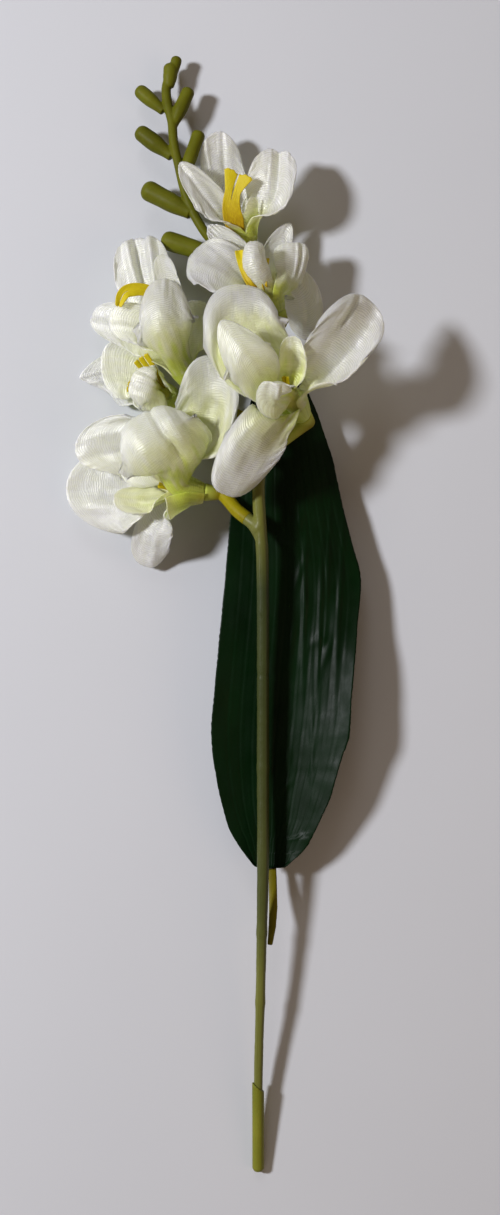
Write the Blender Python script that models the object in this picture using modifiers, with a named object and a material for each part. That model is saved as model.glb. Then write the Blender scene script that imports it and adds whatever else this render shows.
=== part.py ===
"""Freesia spray, artificial, lying on a table.

A moulded plastic stem with a wire core carries six cloth flowers, a moulded tip of closed buds and one
ribbed cloth leaf. Metres, +Z up. The spray lies along Y with its buds at +Y, seen in plan from +Z.

Plan points are written (x, y, z): x and y count thirds of a millimetre across the table as an eye SIGHT above
the middle of the spray sees them, x to the right and y down from the bud end, and z is the height in mm.
"""

import math

import bmesh
import bpy
import numpy as np
from mathutils import Matrix, Vector

# ---------------------------------------------------------------- driving dimensions (mm unless said)
GRID = 1.0 / 3.0            # one plan step on the table
SIGHT = 600.0               # height of the eye that plan points are seen from
EYE = (250.0, 607.5)        # plan point straight under the eye
CENTRE = (-9.385, -2.69, 0.34)    # middle of the whole spray's box and its lowest point, in mm

WIRE_R = 0.45
WIRE_BORE_R = 0.85
SLEEVE_R = 2.0
SLEEVE_BORE_R = 1.7
PEG_R = 1.0
SOCKET_R = 1.35
PEG_LENGTH = 4.0
STALK_R = 2.15
CLOTH = 0.40                # petal cloth thickness
LEAF_CLOTH = 0.55           # coated leaf cloth
FIT = 0.32                  # gap between touching pieces
STAMEN_HALF = 0.75          # half width of the stamen strap in the funnel
STAMEN_THICK = 0.55
ACROSS, ALONG, FUNNEL_ROWS = 6, 8, 3

COLLECTION = "freesia_spray"
MM = 0.001

for old in list(bpy.data.objects):
    bpy.data.objects.remove(old, do_unlink=True)
for old in list(bpy.data.collections):
    bpy.data.collections.remove(old)
parts = bpy.data.collections.new(COLLECTION)
cutters = bpy.data.collections.new("cutters")
bpy.context.scene.collection.children.link(parts)
bpy.context.scene.collection.children.link(cutters)


# ---------------------------------------------------------------- materials
def material(name, colour, roughness, metallic=0.0):
    m = bpy.data.materials.new(name)
    m.use_nodes = True
    b = m.node_tree.nodes["Principled BSDF"]
    b.inputs["Base Color"].default_value = (*colour, 1.0)
    b.inputs["Roughness"].default_value = roughness
    b.inputs["Metallic"].default_value = metallic
    m.diffuse_color = (*colour, 1.0)
    return m


STEM_GREEN = ((0.16, 0.19, 0.04), 0.42)
SLEEVE_GREEN = ((0.26, 0.30, 0.05), 0.40)
STALK_OLIVE = ((0.40, 0.34, 0.02), 0.42)
CALYX_GREEN = ((0.42, 0.45, 0.06), 0.45)
BUD_GREEN = ((0.16, 0.24, 0.02), 0.38)
LEAF_GREEN = ((0.005, 0.030, 0.010), 0.40)
PETAL_WHITE = ((0.78, 0.77, 0.68), 0.45)
STAMEN_YELLOW = ((0.80, 0.55, 0.01), 0.55)


# ---------------------------------------------------------------- plan geometry
def droop(y):
    """The share of its height that a point keeps: the tip of the spray hangs lower than its middle."""
    x = min(max((y - 245.0) / 60.0, 0.0), 1.0)
    return 0.66 + 0.34 * x * x * (3 - 2 * x)


def plan(p):
    """A plan point as (x, y, z) in mm."""
    x, y, z = p
    z = z * droop(y)
    k = GRID * (SIGHT - z) / SIGHT
    return np.array([(x - EYE[0]) * k - CENTRE[0], (EYE[1] - y) * k - CENTRE[1], z - CENTRE[2]], float)


def unit(v):
    v = np.asarray(v, float)
    return v / np.linalg.norm(v)


def smooth(x, a=0.0, b=1.0):
    x = min(max((x - a) / (b - a), 0.0), 1.0)
    return x * x * (3 - 2 * x)


def knots_of(points):
    d = [np.linalg.norm(b - a) for a, b in zip(points, points[1:])]
    return np.concatenate([[0], np.cumsum(d)]) / sum(d), float(sum(d))


def curve_through(points, start=None, start_pull=0.75):
    """A smooth curve through points: f(t) gives the place and the direction, t from 0 to 1."""
    pts = [np.asarray(p, float) for p in points]
    knots, total = knots_of(pts)
    m = []
    for i in range(len(pts)):
        a, b = max(i - 1, 0), min(i + 1, len(pts) - 1)
        m.append((pts[b] - pts[a]) / (knots[b] - knots[a]))
    if start is not None:
        m[0] = start * total * start_pull
    if len(pts) > 2:
        m[-1] = 1.5 * (pts[-1] - pts[-2]) / (knots[-1] - knots[-2]) - 0.5 * m[-2]

    def f(t):
        t = min(max(t, 0.0), 1.0)
        i = min(max(int(np.searchsorted(knots, t, side="right") - 1), 0), len(pts) - 2)
        h = knots[i + 1] - knots[i]
        x = (t - knots[i]) / h
        x2, x3 = x * x, x * x * x
        place = (2 * x3 - 3 * x2 + 1) * pts[i] + (x3 - 2 * x2 + x) * h * m[i] \
            + (3 * x2 - 2 * x3) * pts[i + 1] + (x3 - x2) * h * m[i + 1]
        way = (6 * x2 - 6 * x) * pts[i] + (3 * x2 - 4 * x + 1) * h * m[i] \
            + (6 * x - 6 * x2) * pts[i + 1] + (3 * x2 - 2 * x) * h * m[i + 1]
        return place, unit(way)
    return f, total


def between(stops, x):
    """Value at x of straight runs between (x, value) stops."""
    xs, vs = zip(*stops)
    return float(np.interp(x, xs, vs))


# ---------------------------------------------------------------- object helpers
def finish(obj, mat, name=None):
    if name:
        obj.name = name
    obj.data.name = obj.name
    obj.data.materials.clear()
    obj.data.materials.append(mat)
    for c in list(obj.users_collection):
        c.objects.unlink(obj)
    parts.objects.link(obj)
    if obj.type == "MESH":
        obj.data.shade_smooth()
        obj.data.set_sharp_from_angle(angle=math.radians(40))
    return obj


def mesh_object(name, points_mm, faces):
    me = bpy.data.meshes.new(name)
    me.from_pydata([tuple(np.asarray(p) * MM) for p in points_mm], [], faces)
    me.update()
    obj = bpy.data.objects.new(name, me)
    bpy.context.scene.collection.objects.link(obj)
    return obj


def settled(obj, weld=2e-6):
    """The object's evaluated shape as a plain mesh in world space."""
    bpy.context.view_layer.update()
    dg = bpy.context.evaluated_depsgraph_get()
    me = bpy.data.meshes.new_from_object(obj.evaluated_get(dg))
    me.transform(obj.matrix_world)
    bm = bmesh.new()
    bm.from_mesh(me)
    bmesh.ops.remove_doubles(bm, verts=bm.verts, dist=weld)
    bmesh.ops.recalc_face_normals(bm, faces=bm.faces)
    bm.to_mesh(me)
    bm.free()
    name = obj.name
    bpy.data.objects.remove(obj, do_unlink=True)
    new = bpy.data.objects.new(name, me)
    bpy.context.scene.collection.objects.link(new)
    return new


def tube(name, points_mm, radii_mm, sides_step=2):
    """A round tube through points, as a bevelled curve made a mesh."""
    cu = bpy.data.curves.new(name, "CURVE")
    cu.dimensions = "3D"
    cu.bevel_depth = MM
    cu.bevel_resolution = sides_step
    cu.use_fill_caps = True
    sp = cu.splines.new("POLY")
    sp.points.add(len(points_mm) - 1)
    for p, q, r in zip(sp.points, points_mm, radii_mm):
        p.co = (*(np.asarray(q) * MM), 1.0)
        p.radius = r
    obj = bpy.data.objects.new(name, cu)
    bpy.context.scene.collection.objects.link(obj)
    return settled(obj)


def turned(name, profile_mm, steps, at, axis):
    """A profile of (radius, height) turned about axis, standing at a point."""
    me = bpy.data.meshes.new(name)
    me.from_pydata([(r * MM, 0.0, h * MM) for r, h in profile_mm], [(i, i + 1) for i in range(len(profile_mm) - 1)], [])
    obj = bpy.data.objects.new(name, me)
    bpy.context.scene.collection.objects.link(obj)
    s = obj.modifiers.new("turn", "SCREW")
    s.axis = "Z"
    s.steps = s.render_steps = steps
    s.use_merge_vertices = True
    s.merge_threshold = 0.00001
    q = Vector((0, 0, 1)).rotation_difference(Vector(axis))
    obj.matrix_world = Matrix.Translation(Vector(at) * MM) @ q.to_matrix().to_4x4()
    return settled(obj)


def cut_or_join(target, tool, how, keep=False):
    b = target.modifiers.new(how, "BOOLEAN")
    b.operation = how
    b.solver = "EXACT"
    b.object = tool
    name = target.name
    out = settled(target)
    out.name = name
    if keep:
        for c in list(tool.users_collection):
            c.objects.unlink(tool)
        cutters.objects.link(tool)
        tool.hide_render = True
        tool.display_type = "WIRE"
    else:
        bpy.data.objects.remove(tool, do_unlink=True)
    return out


def loft(name, centres, sides, ups, half_w, half_t, n=10):
    """A strap: flat rounded sections along centres. sides and ups are unit vectors across and through it."""
    pts, faces = [], []
    k = len(centres)
    for c, s, u, w, t in zip(centres, sides, ups, half_w, half_t):
        for i in range(n):
            a = 2 * math.pi * i / n
            ca, sa = math.cos(a), math.sin(a)
            pts.append(c + s * w * math.copysign(abs(ca) ** 0.7, ca) + u * t * math.copysign(abs(sa) ** 0.7, sa))
    for j in range(k - 1):
        for i in range(n):
            a, b = j * n + i, j * n + (i + 1) % n
            faces.append((a, b, b + n, a + n))
    faces.append(tuple(reversed(range(n))))
    faces.append(tuple((k - 1) * n + i for i in range(n)))
    return settled(mesh_object(name, pts, faces))


# ---------------------------------------------------------------- stem, from the cut end to the buds
STEM_PATH = [(258.3, 1166, 2.36), (258.4, 1075, 7.0), (260.3, 1000, 11.3), (261.5, 945, 13.4), (263, 870, 15.5),
             (263, 780, 16.5), (263, 700, 18.5), (262.5, 560, 22.5), (258.5, 490, 24), (262, 450, 24.5),
             (266, 405, 24.5), (262, 360, 24), (250, 310, 22), (232, 270, 19.5)]
STEM_RADII = [(490, 2.0), (870, 1.95), (945, 1.65), (1080, 1.42), (1168, 1.4)]
STEM_RADII_TOP = [(270, 1.55), (400, 1.8), (490, 2.0)]


def stem_radius(y):
    return between(STEM_RADII_TOP, y) if y < 490 else between(STEM_RADII, y)


def along(path, count):
    f, total = curve_through([plan(p) for p in path])
    return [f(i / (count - 1)) for i in range(count)], total


def plan_y(point):
    """The plan y of a point in mm."""
    z = point[2] + CENTRE[2]
    return EYE[1] - (point[1] + CENTRE[1]) / (GRID * (SIGHT - z) / SIGHT)


run, _ = along(STEM_PATH, 56)
stem_points = [p for p, _ in run]
stem = tube("stem", stem_points, [stem_radius(plan_y(p)) for p in stem_points], 2)


def nearest_on_stem(y):
    best = min(range(len(run)), key=lambda i: abs(plan_y(run[i][0]) - y))
    return run[best]


# ---------------------------------------------------------------- flowers
# Each flower: base and mouth of its funnel, where its stalk leaves the stem, and two whorls of three petals.
# A petal: th is its place round the funnel (0 nearest the eye, degrees), mid and tip its spine, W half width,
# rm and rt how its face is rolled half way and at the tip, cm and ct how it is cupped there, p how blunt the
# tip is, tm where it is widest, tr where the first roll ends, wb and tb how fast its claw narrows.
# stamens: the fan's tip, its half width, the prongs it is slit into, its roll and how far it dips at the mouth.
def petal(n, th, mid, tip, W, rm, rt, cm, ct, p, tm, tr=0.4, wb=1.0, tb=0.35):
    return dict(n=n, th=th, mid=mid, tip=tip, W=W, rm=rm, rt=rt, cm=cm, ct=ct, p=p, tm=tm, tr=tr, wb=wb, tb=tb)


FLOWERS = {
    "flower_1": dict(
        base=(248.5, 246, 14.5), mouth=(245, 233, 16), in_ax=1.6, leaves_stem=300,
        stamens=((236, 177, 27.0), 3.4, 3, 0, 0.0),
        outer=dict(r=4.2, r0=2.6, petals=[
            petal("R", 70, [(271, 194, 23)], (275, 149, 24), 9.0, -150, -180, 0.5, 0.5, 2.4, 0.45),
            petal("T", 180, [(225, 182, 8)], (217, 132, 16), 7.2, 180, 180, 0.4, 0.4, 2.3, 0.55),
            petal("L", -70, [(209, 201, 21)], (180, 162, 21), 5.6, 150, 180, 0.2, 0.2, 1.7, 0.45),
        ]),
        inner=dict(r=2.9, r0=1.7, petals=[
            petal("Q", 45, [(252.5, 214, 24.5)], (254.5, 197, 27), 2.9, -40, -50, 0.8, 0.5, 2.6, 0.5),
            petal("Hr", 128, [(246.5, 210, 12.4)], (249.5, 196, 13.2), 1.8, -180, -180, 0.8, 0.5, 2.2, 0.5, wb=0.4, tb=0.2),
            petal("Hl", -150, [(236.5, 214, 10.6)], (232, 200, 11.2), 1.7, 180, 180, 0.8, 0.5, 2.2, 0.5, wb=0.4, tb=0.2),
        ]),
    ),
    "flower_2": dict(
        base=(277, 312, 20), mouth=(271, 298, 22), in_ax=1.6, leaves_stem=350,
        stamens=((253, 252, 32.5), 2.0, 2, 0, -0.4),
        outer=dict(r=4.4, r0=2.6, petals=[
            petal("R", 60, [(291, 272, 26)], (291, 242, 27.5), 6.0, -20, 0, 0.6, 0.5, 4, 0.8, wb=0.85),
            petal("Sh", 160, [(292, 284, 15), (303, 305, 9)], (304, 340, 0.75), 6.5, -180, -200, 0.2, 0, 2.2, 0.5),
            petal("L", -60, [(224, 272, 30.5)], (193, 250, 27.5), 10, 150, 180, 0.25, 0.25, 2.3, 0.5, wb=0.8),
        ]),
        inner=dict(r=3.0, r0=1.7, petals=[
            petal("F", 0, [(255, 262, 41.5)], (254, 240, 43), 6.5, 0, 0, 2.0, 2.2, 4, 0.8, wb=0.9),
            petal("B", 122, [(275, 257, 16)], (290, 224, 15), 4.8, 180, 180, 0.5, 0.3, 1.9, 0.5, wb=0.5),
            petal("Bh", -178, [(239, 256, 26.8)], (208, 226, 26.8), 4.6, 180, 180, 0.3, 0.3, 2.0, 0.55, wb=0.35, tb=0.2),
        ]),
    ),
    "flower_3": dict(
        base=(189, 383, 17), mouth=(183, 369, 19), in_ax=1.6, leaves_stem=430,
        stamens=((124, 290, 21.0), 3.0, 3, 0, 2.2),
        outer=dict(r=4.4, r0=2.6, petals=[
            petal("F", 0, [(166, 325, 35)], (164, 277, 31.5), 10, 0, 0, 0.8, 0.7, 2.5, 0.5),
            petal("R", 120, [(196, 338, 13)], (195, 300, 13), 6.6, -180, -180, 0.4, 0.3, 2.3, 0.5),
            petal("S", -120, [(136, 332, 12.5)], (92, 316, 6), 7, 180, 180, 0.2, 0.4, 2.3, 0.6),
        ]),
        inner=dict(r=3.0, r0=1.7, petals=[
            petal("X", 60, [(172, 300, 25)], (161, 255, 25), 4.2, -170, -180, 0.8, 0.5, 2.3, 0.6),
            petal("K", 180, [(150, 295, 16.5)], (138, 238, 17.5), 9.2, 180, 180, 0.4, 0.5, 2.6, 0.7),
            petal("M", -60, [(142, 328, 23.2)], (109, 320, 22.4), 7.2, 150, 180, 0.3, 0.4, 2.4, 0.5, wb=0.75),
        ]),
    ),
    "flower_4": dict(
        base=(184, 406, 10), mouth=(168, 398, 11), in_ax=1.5, leaves_stem=460,
        stamens=((136, 361, 15.2), 2.3, 3, 0, 0.0),
        outer=dict(r=4.2, r0=2.6, petals=[
            petal("U", 50, [(168, 384, 17.5)], (159, 371, 20.5), 3.6, -80, -80, 0.2, 0.2, 2.3, 0.5, wb=0.7, tb=0.25),
            petal("P", 180, [(120, 374, 2.8)], (79, 378, 0.55), 10, 180, 180, 0.15, 0.1, 1.3, 0.4),
            petal("Lo", -70, [(156, 422, 7.8)], (136, 429, 6), 3.6, 100, 130, 0.3, 0.2, 2.2, 0.5, wb=0.4, tb=0.2),
        ]),
        inner=dict(r=3.0, r0=1.7, petals=[
            petal("Ft", 0, [(153, 388, 24.5)], (130, 380, 24), 8.0, 0, 0, 0.8, 0.7, 2.8, 0.45),
            petal("Po", 120, [(128, 370, 8.5)], (101, 369, 9), 10.5, -180, -180, 0.25, 0.35, 2.3, 0.6),
            petal("Hd", -120, [(147, 403, 11.6)], (134, 397, 12.4), 3.2, 180, 180, 0.8, 0.5, 2.2, 0.5),
        ]),
    ),
    "flower_5": dict(
        base=(303, 416, 23), mouth=(292, 402, 29), in_ax=1.5, leaves_stem=455,
        stamens=((285, 376, 35.3), 1.2, 2, 0, 0.0),
        outer=dict(r=5.2, r0=2.6, petals=[
            petal("R1", 60, [(311, 385, 33), (335, 351, 33)], (370, 299, 31.5), 11.4, -170, -180, 0.8, 0.6, 2.3, 0.4, tr=0.22),
            petal("C2", 180, [(246, 340, 34)], (240, 282, 37.5), 12.5, 180, 180, 0.3, 0.4, 2.5, 0.5),
            petal("D", -60, [(273, 423, 38), (250, 449, 37)], (223, 495, 33), 9.2, 180, 180, -0.2, -0.3, 2.8, 0.3, tr=0.2),
        ]),
        inner=dict(r=3.4, r0=1.7, petals=[
            petal("M", -8, [(276, 400, 42)], (277, 385, 47), 6.6, 0, 0, 1.2, 1.0, 2.8, 0.6),
            petal("O", 120, [(292, 366, 36)], (292, 336, 38), 5.4, -180, -180, 1.0, 1.0, 2.2, 0.5),
            petal("W", -120, [(251, 363, 46.5)], (221, 320, 46), 8.4, 180, 180, -0.3, -0.5, 1.7, 0.5),
        ]),
    ),
    "flower_6": dict(
        base=(204, 492, 17), mouth=(186, 490, 18), in_ax=1.7, leaves_stem=530,
        stamens=((145, 480, 22.6), 1.5, 2, 0, 0.0),
        outer=dict(r=5.0, r0=2.6, petals=[
            petal("T", 5, [(175, 462, 32.6), (157, 438, 37)], (143, 411, 31), 15.5, 0, 0, 0.6, 0.5, 2.6, 0.45),
            petal("C1", 115, [(192, 458, 16.5), (207, 425, 23.5), (211, 395, 27)], (208, 355, 29), 11.2, -160, -180, 0.4, 0.45, 2.4, 0.6, tr=0.45),
            petal("Bt", -105, [(168, 512, 14), (153, 535, 11)], (146, 566, 4), 7.0, 150, 180, 0.3, -0.3, 2.3, 0.55),
        ]),
        inner=dict(r=3.4, r0=1.7, petals=[
            petal("L2", 180, [(125, 490, 5)], (66, 490, 8), 15.5, 180, 180, 0.5, 0.5, 2.2, 0.45),
            petal("L1", 75, [(126, 446, 16)], (76, 455, 15.5), 10, -160, -180, 0.3, 0.3, 2.2, 0.45, wb=0.8),
            petal("I", -65, [(141, 502, 16.6)], (113, 500, 20), 5.6, 150, 150, 0.4, 0.4, 2.2, 0.5, wb=0.6, tb=0.25),
        ]),
    ),
}


def flower_frame(f):
    base, mouth = plan(f["base"]), plan(f["mouth"])
    a = unit(mouth - base)
    up = np.array([0, 0, 1.0])
    u = unit(up - (up @ a) * a)
    return base, a, u, np.cross(a, u), float(np.linalg.norm(mouth - base))


def near_angle(a, ref):
    while a - ref > 180:
        a -= 360
    while a - ref < -180:
        a += 360
    return a


def ease(a, b, c, t, k):
    if t < k:
        return a + (b - a) * smooth(t / k)
    return b + (c - b) * smooth((t - k) / (1 - k))


def order_petals(whorl):
    ps = sorted(whorl["petals"], key=lambda q: q["th"] % 360)
    for p in ps:
        p["at"] = p["th"] % 360
    for i, p in enumerate(ps):
        p["hi"] = p["at"] + ((ps[(i + 1) % len(ps)]["at"] - p["at"]) % 360) / 2
        p["lo"] = p["at"] - ((p["at"] - ps[(i - 1) % len(ps)]["at"]) % 360) / 2
    return ps


def arc_angle(p, s):
    return p["at"] + (p["hi"] - p["at"]) * s if s > 0 else p["at"] + (p["at"] - p["lo"]) * s


def ring_point(f, angle, ax, r):
    base, a, u, v, _ = flower_frame(f)
    th = math.radians(angle)
    return base + a * ax + r * (math.cos(th) * u + math.sin(th) * v)


def whorl_mouth(f, which):
    length = flower_frame(f)[4]
    return length * (1.0 if which == "outer" else f["in_ax"])


def petal_grid(f, which, p, nu, nt):
    """The petal's middle surface: rows from the funnel's rim to the tip, points from one edge to the other."""
    base, a, u, v, _ = flower_frame(f)
    r1 = f[which]["r"]
    ax0 = whorl_mouth(f, which)
    start = ring_point(f, p["at"], ax0, r1)
    out = unit(start - (base + a * ax0))
    spine, total = curve_through([start] + [plan(m) for m in p["mid"]] + [plan(p["tip"])], unit(a + 0.35 * out))
    up = np.array([0, 0, 1.0])

    def frame(t):
        pos, d = spine(t)
        n0 = unit(up - (up @ d) * d)
        return pos, d, n0, np.cross(d, n0)

    _, d, n0, w0 = frame(0.02)
    o = out - (out @ d) * d
    rb = math.degrees(math.atan2(-(o @ w0), (o @ n0)))
    rm = near_angle(p["rm"], rb)
    rt = near_angle(p["rt"], rm)
    tm, pw, full = p["tm"], p["p"], p["W"]
    edge = math.sin(math.radians(78))
    edge_c = (1 - edge ** pw) ** (1 / pw)
    hb = r1 * math.radians((p["hi"] - p["lo"]) / 2) * p["wb"]

    def half(tau):
        round_off = 1.0 if tau <= tm else max(1 - min((tau - tm) / (1 - tm), 1.0) ** pw, 0) ** (1 / pw)
        return (hb + (full - hb) * smooth(tau / max(tm, 1e-3))) * round_off

    rows, delta = [], None
    for j in range(nt + 1):
        t = j / nt
        ts = t * (tm + (1 - tm) * edge_c)
        row = []
        for i in range(nu + 1):
            s = -1 + 2 * i / nu
            g = (max(1 - (abs(s) * edge) ** pw, 0) ** (1 / pw) - edge_c) / (1 - edge_c)
            tau = ts + (t - ts) * g
            pos, d, n0, w0 = frame(tau)
            rho = math.radians(ease(rb, rm, rt, tau, p["tr"]))
            wv = math.cos(rho) * w0 + math.sin(rho) * n0
            nv = -math.sin(rho) * w0 + math.cos(rho) * n0
            kap = ease(1 / r1, p["cm"] / full, p["ct"] / full, tau, p["tr"])
            x = s * half(ts)
            if abs(kap) > 1e-6:
                x, dep = math.sin(kap * x) / kap, -(1 - math.cos(kap * x)) / kap
            else:
                dep = 0.0
            row.append(pos + x * wv + dep * nv)
        row = np.array(row)
        if delta is None:
            rim = [ring_point(f, arc_angle(p, -1 + 2 * i / nu), ax0, r1) for i in range(nu + 1)]
            delta = np.array(rim) - row
        rows.append(row + delta * (1 - smooth(t / p["tb"])))
    return np.array(rows)


def whorl_surface(f, which, nu, nt, nf):
    """Points and quads of a whorl: a closed funnel that splits into its petals."""
    ps = order_petals(f[which])
    n = nu * len(ps)
    ax0, ax1 = (0.0 if which == "outer" else 1.0), whorl_mouth(f, which)
    r0, r1 = f[which]["r0"], f[which]["r"]
    pts, quads = [], []
    for k in range(nf):
        q = k / nf
        for p in ps:
            for i in range(nu):
                pts.append(ring_point(f, arc_angle(p, -1 + 2 * i / nu), ax0 + (ax1 - ax0) * q, r0 + (r1 - r0) * q ** 0.8))
    grids = [petal_grid(f, which, p, nu, nt) for p in ps]
    for g in grids:
        pts += [g[0][i] for i in range(nu)]
    for k in range(nf):
        for i in range(n):
            j = (i + 1) % n
            quads.append((k * n + i, k * n + j, (k + 1) * n + j, (k + 1) * n + i))
    for q, g in enumerate(grids):
        before = [nf * n + (q * nu + i) % n for i in range(nu + 1)]
        for r in range(1, nt + 1):
            here = [len(pts) + i for i in range(nu + 1)]
            pts += [g[r][i] for i in range(nu + 1)]
            quads += [(before[i], before[i + 1], here[i + 1], here[i]) for i in range(nu)]
            before = here
    return pts, quads


def whorl(name, f, which, mat):
    pts, quads = whorl_surface(f, which, ACROSS, ALONG, FUNNEL_ROWS)
    obj = mesh_object(name, pts, quads)
    s = obj.modifiers.new("cloth", "SOLIDIFY")
    s.thickness = CLOTH * MM
    s.offset = 0.0
    s.use_even_offset = False
    bpy.context.view_layer.update()
    return finish(obj, mat)


def stamens(name, f, mat):
    """A strap up the inside of the inner funnel that fans out and is slit into prongs."""
    base, a, u, v, length = flower_frame(f)
    reach = whorl_mouth(f, "inner")
    tip, wide, prongs, roll, dip = f["stamens"]
    path, _ = curve_through([base + a * 0.5, base + a * reach * 0.55, base + a * (reach + 1.0) - u * dip, plan(tip)], a, 0.6)
    rows, split, cols = 14, 9, 2 * prongs + 1
    pts, quads, left = [], [], []
    turn = math.radians(roll)
    for j in range(rows + 1):
        t = j / rows
        pos, d = path(t)
        n0 = unit(np.array([0, 0, 1.0]) - d[2] * d)
        w0 = np.cross(d, n0)
        side = math.cos(turn) * w0 + math.sin(turn) * n0
        half = STAMEN_HALF + (wide - STAMEN_HALF) * smooth(t, 0.5, 1.0)
        slit = max(0, j - split) / (rows - split)
        for k in range(prongs):
            for c in range(3):
                i = 2 * k + c
                across = (-1 + 2 * i / (cols - 1)) * half
                if j > split and 0 < i < cols - 1 and c != 1:
                    across += (1 - c) * slit * 0.5 * half / prongs
                if c == 0 and k > 0 and j <= split:
                    left.append(left[-1])
                    continue
                left.append(len(pts))
                pts.append(pos + side * across - d * (0.5 * slit * half * (c != 1) if j == rows else 0.0))
    at = lambda j, k, c: left[(j * prongs + k) * 3 + c]
    for j in range(rows):
        for k in range(prongs):
            for c in range(2):
                quads.append((at(j, k, c), at(j, k, c + 1), at(j + 1, k, c + 1), at(j + 1, k, c)))
    obj = mesh_object(name, pts, quads)
    s = obj.modifiers.new("strap", "SOLIDIFY")
    s.thickness = STAMEN_THICK * MM
    s.offset = 0.0
    return finish(obj, mat, name)


def calyx(name, f, mat, spur):
    """A cup round the funnel's foot, and the stalk from it down to the stem's spur, bored for the peg."""
    base, a, u, v, length = flower_frame(f)
    r0, r1 = f["outer"]["r0"], f["outer"]["r"]
    depth = min(3.0, length * 0.6)
    wall = []
    for x in (0.0, 0.5 * depth, depth):
        wall.append((r0 + (r1 - r0) * (max(x, 0) / length) ** 0.8 + CLOTH / 2 + FIT + 0.12, x))
    inner = [(0.0, -FIT - 0.2), (wall[0][0], -FIT - 0.2)] + wall[1:]
    outer = [(wall[2][0] + 0.45, depth - 0.15), (wall[1][0] + 0.6, wall[1][1]), (wall[0][0] + 0.45, -0.6),
             (STALK_R + 0.6, -2.4), (STALK_R, -4.0), (0.0, -4.0)]
    cup = turned(name, list(reversed(inner + outer)), 20, base, a)
    shoulder, way = spur
    near, far = shoulder + way * FIT, base - a * (3.2 if way @ a > 0.5 else 3.6)
    stops = [near, far]
    if way @ a > 0.5 and np.linalg.norm(far - near) > PEG_LENGTH * 2:
        stops = [near, shoulder + way * PEG_LENGTH * 1.35, base - a * 6.0, far]
    path, _ = curve_through(stops, way, 0.6)
    pts = [path(i / 9)[0] for i in range(10)]
    stalk = tube(f"{name}_stalk", pts, [STALK_R * (1 - 0.08 * math.sin(math.pi * i / 9)) for i in range(10)], 3)
    body = cut_or_join(cup, stalk, "UNION")
    socket = tube(f"{name}_socket", [shoulder - way * 2.0, shoulder + way * (PEG_LENGTH + FIT)], [SOCKET_R, SOCKET_R], 2)
    body = cut_or_join(body, socket, "DIFFERENCE", keep=True)
    return finish(body, mat, name)


stem_mat = material("stem_green", *STEM_GREEN)
sleeve_mat = material("sleeve_green", *SLEEVE_GREEN)
stalk_mat = material("stalk_olive", *STALK_OLIVE)
calyx_mat = material("calyx_green", *CALYX_GREEN)
bud_mat = material("bud_green", *BUD_GREEN)
leaf_mat = material("leaf_green", *LEAF_GREEN)
petal_mat = material("petal_white", *PETAL_WHITE)
stamen_mat = material("stamen_yellow", *STAMEN_YELLOW)
wire_mat = material("wire_steel", (0.45, 0.45, 0.46), 0.35, 1.0)

for name, f in FLOWERS.items():
    # the spur and peg on the stem
    root, stem_way = nearest_on_stem(f["leaves_stem"])
    base, a, u, v, length = flower_frame(f)
    aim = unit(plan(f["stalk_mid"]) - root) if f.get("stalk_mid") else unit((base - a * 4.0) - root)
    reach = max(3.4, (stem_radius(f["leaves_stem"]) + STALK_R + FIT + 0.15) / float(np.linalg.norm(np.cross(stem_way, aim))))
    shoulder = root + aim * reach
    stem = cut_or_join(stem, tube("spur", [root, root + aim * reach * 0.6, shoulder], [1.5, 1.9, STALK_R], 2), "UNION")
    stem = cut_or_join(stem, tube("peg", [root, shoulder + aim * PEG_LENGTH], [PEG_R, PEG_R], 1), "UNION")
    calyx(f"{name}_calyx", f, calyx_mat, (shoulder, aim))
    whorl(f"{name}_outer_petals", f, "outer", petal_mat)
    whorl(f"{name}_inner_petals", f, "inner", petal_mat)
    stamens(f"{name}_stamens", f, stamen_mat)

# ---------------------------------------------------------------- wire core, open at the cut end
core = [p for p, _ in run if plan_y(p) > 470]
down = unit(core[0] - core[1])
stem = cut_or_join(stem, tube("wire_bore", [core[0] + down * 3.0] + core[1:], [WIRE_BORE_R] * len(core), 1), "DIFFERENCE", keep=True)
finish(stem, stem_mat, "stem")
inside = core[:-1]
wire = tube("stem_wire", [core[0] - down * 0.6] + inside[1:-1], [WIRE_R] * (len(inside) - 1), 1)
finish(wire, wire_mat)

# ---------------------------------------------------------------- sleeve over the cut end
foot, head = plan((258.2, 1167, 2.355)), plan((258.1, 1073, 7.10))
sleeve_axis = unit(head - foot)
length = float(np.linalg.norm(head - foot))
profile = [(0.0, 0.0), (SLEEVE_R * 0.7, 0.25), (SLEEVE_R, 1.3), (SLEEVE_R, length), (SLEEVE_BORE_R, length),
           (SLEEVE_BORE_R, 1.4), (0.0, 1.0)]
sleeve = turned("base_sleeve", profile, 20, foot - sleeve_axis * 1.5, sleeve_axis)
# the slanting cut at its top, high on the left and lower on the right
bpy.ops.mesh.primitive_cube_add(size=1.0)
slant = bpy.context.object
slant.name = "sleeve_slant"
slant.dimensions = (0.02, 0.012, 0.02)
bpy.ops.object.transform_apply(location=False, rotation=False, scale=True)
slant.matrix_world = Matrix.Translation(Vector(tuple((head + sleeve_axis * 3.2) * MM))) @ Matrix.Rotation(math.radians(-40), 4, "Z")
sleeve = cut_or_join(sleeve, slant, "DIFFERENCE", keep=True)
finish(sleeve, sleeve_mat)

# ---------------------------------------------------------------- leaf: one arched sheet
LEAF_LEFT = [(868, 262), (866, 255), (850, 241), (830, 229), (800, 220.5), (760, 213), (730, 210.7), (700, 213.5),
             (640, 219), (580, 225), (518, 230), (460, 238), (410, 248), (370, 260), (345, 271)]
LEAF_RIGHT = [(868, 272), (867, 285), (850, 306), (800, 330), (750, 344), (742, 349.5), (700, 351.5), (650, 356),
              (620, 358), (586, 361.5), (570, 360), (540, 351), (500, 341), (460, 333), (410, 316), (370, 298), (345, 281)]
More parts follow.
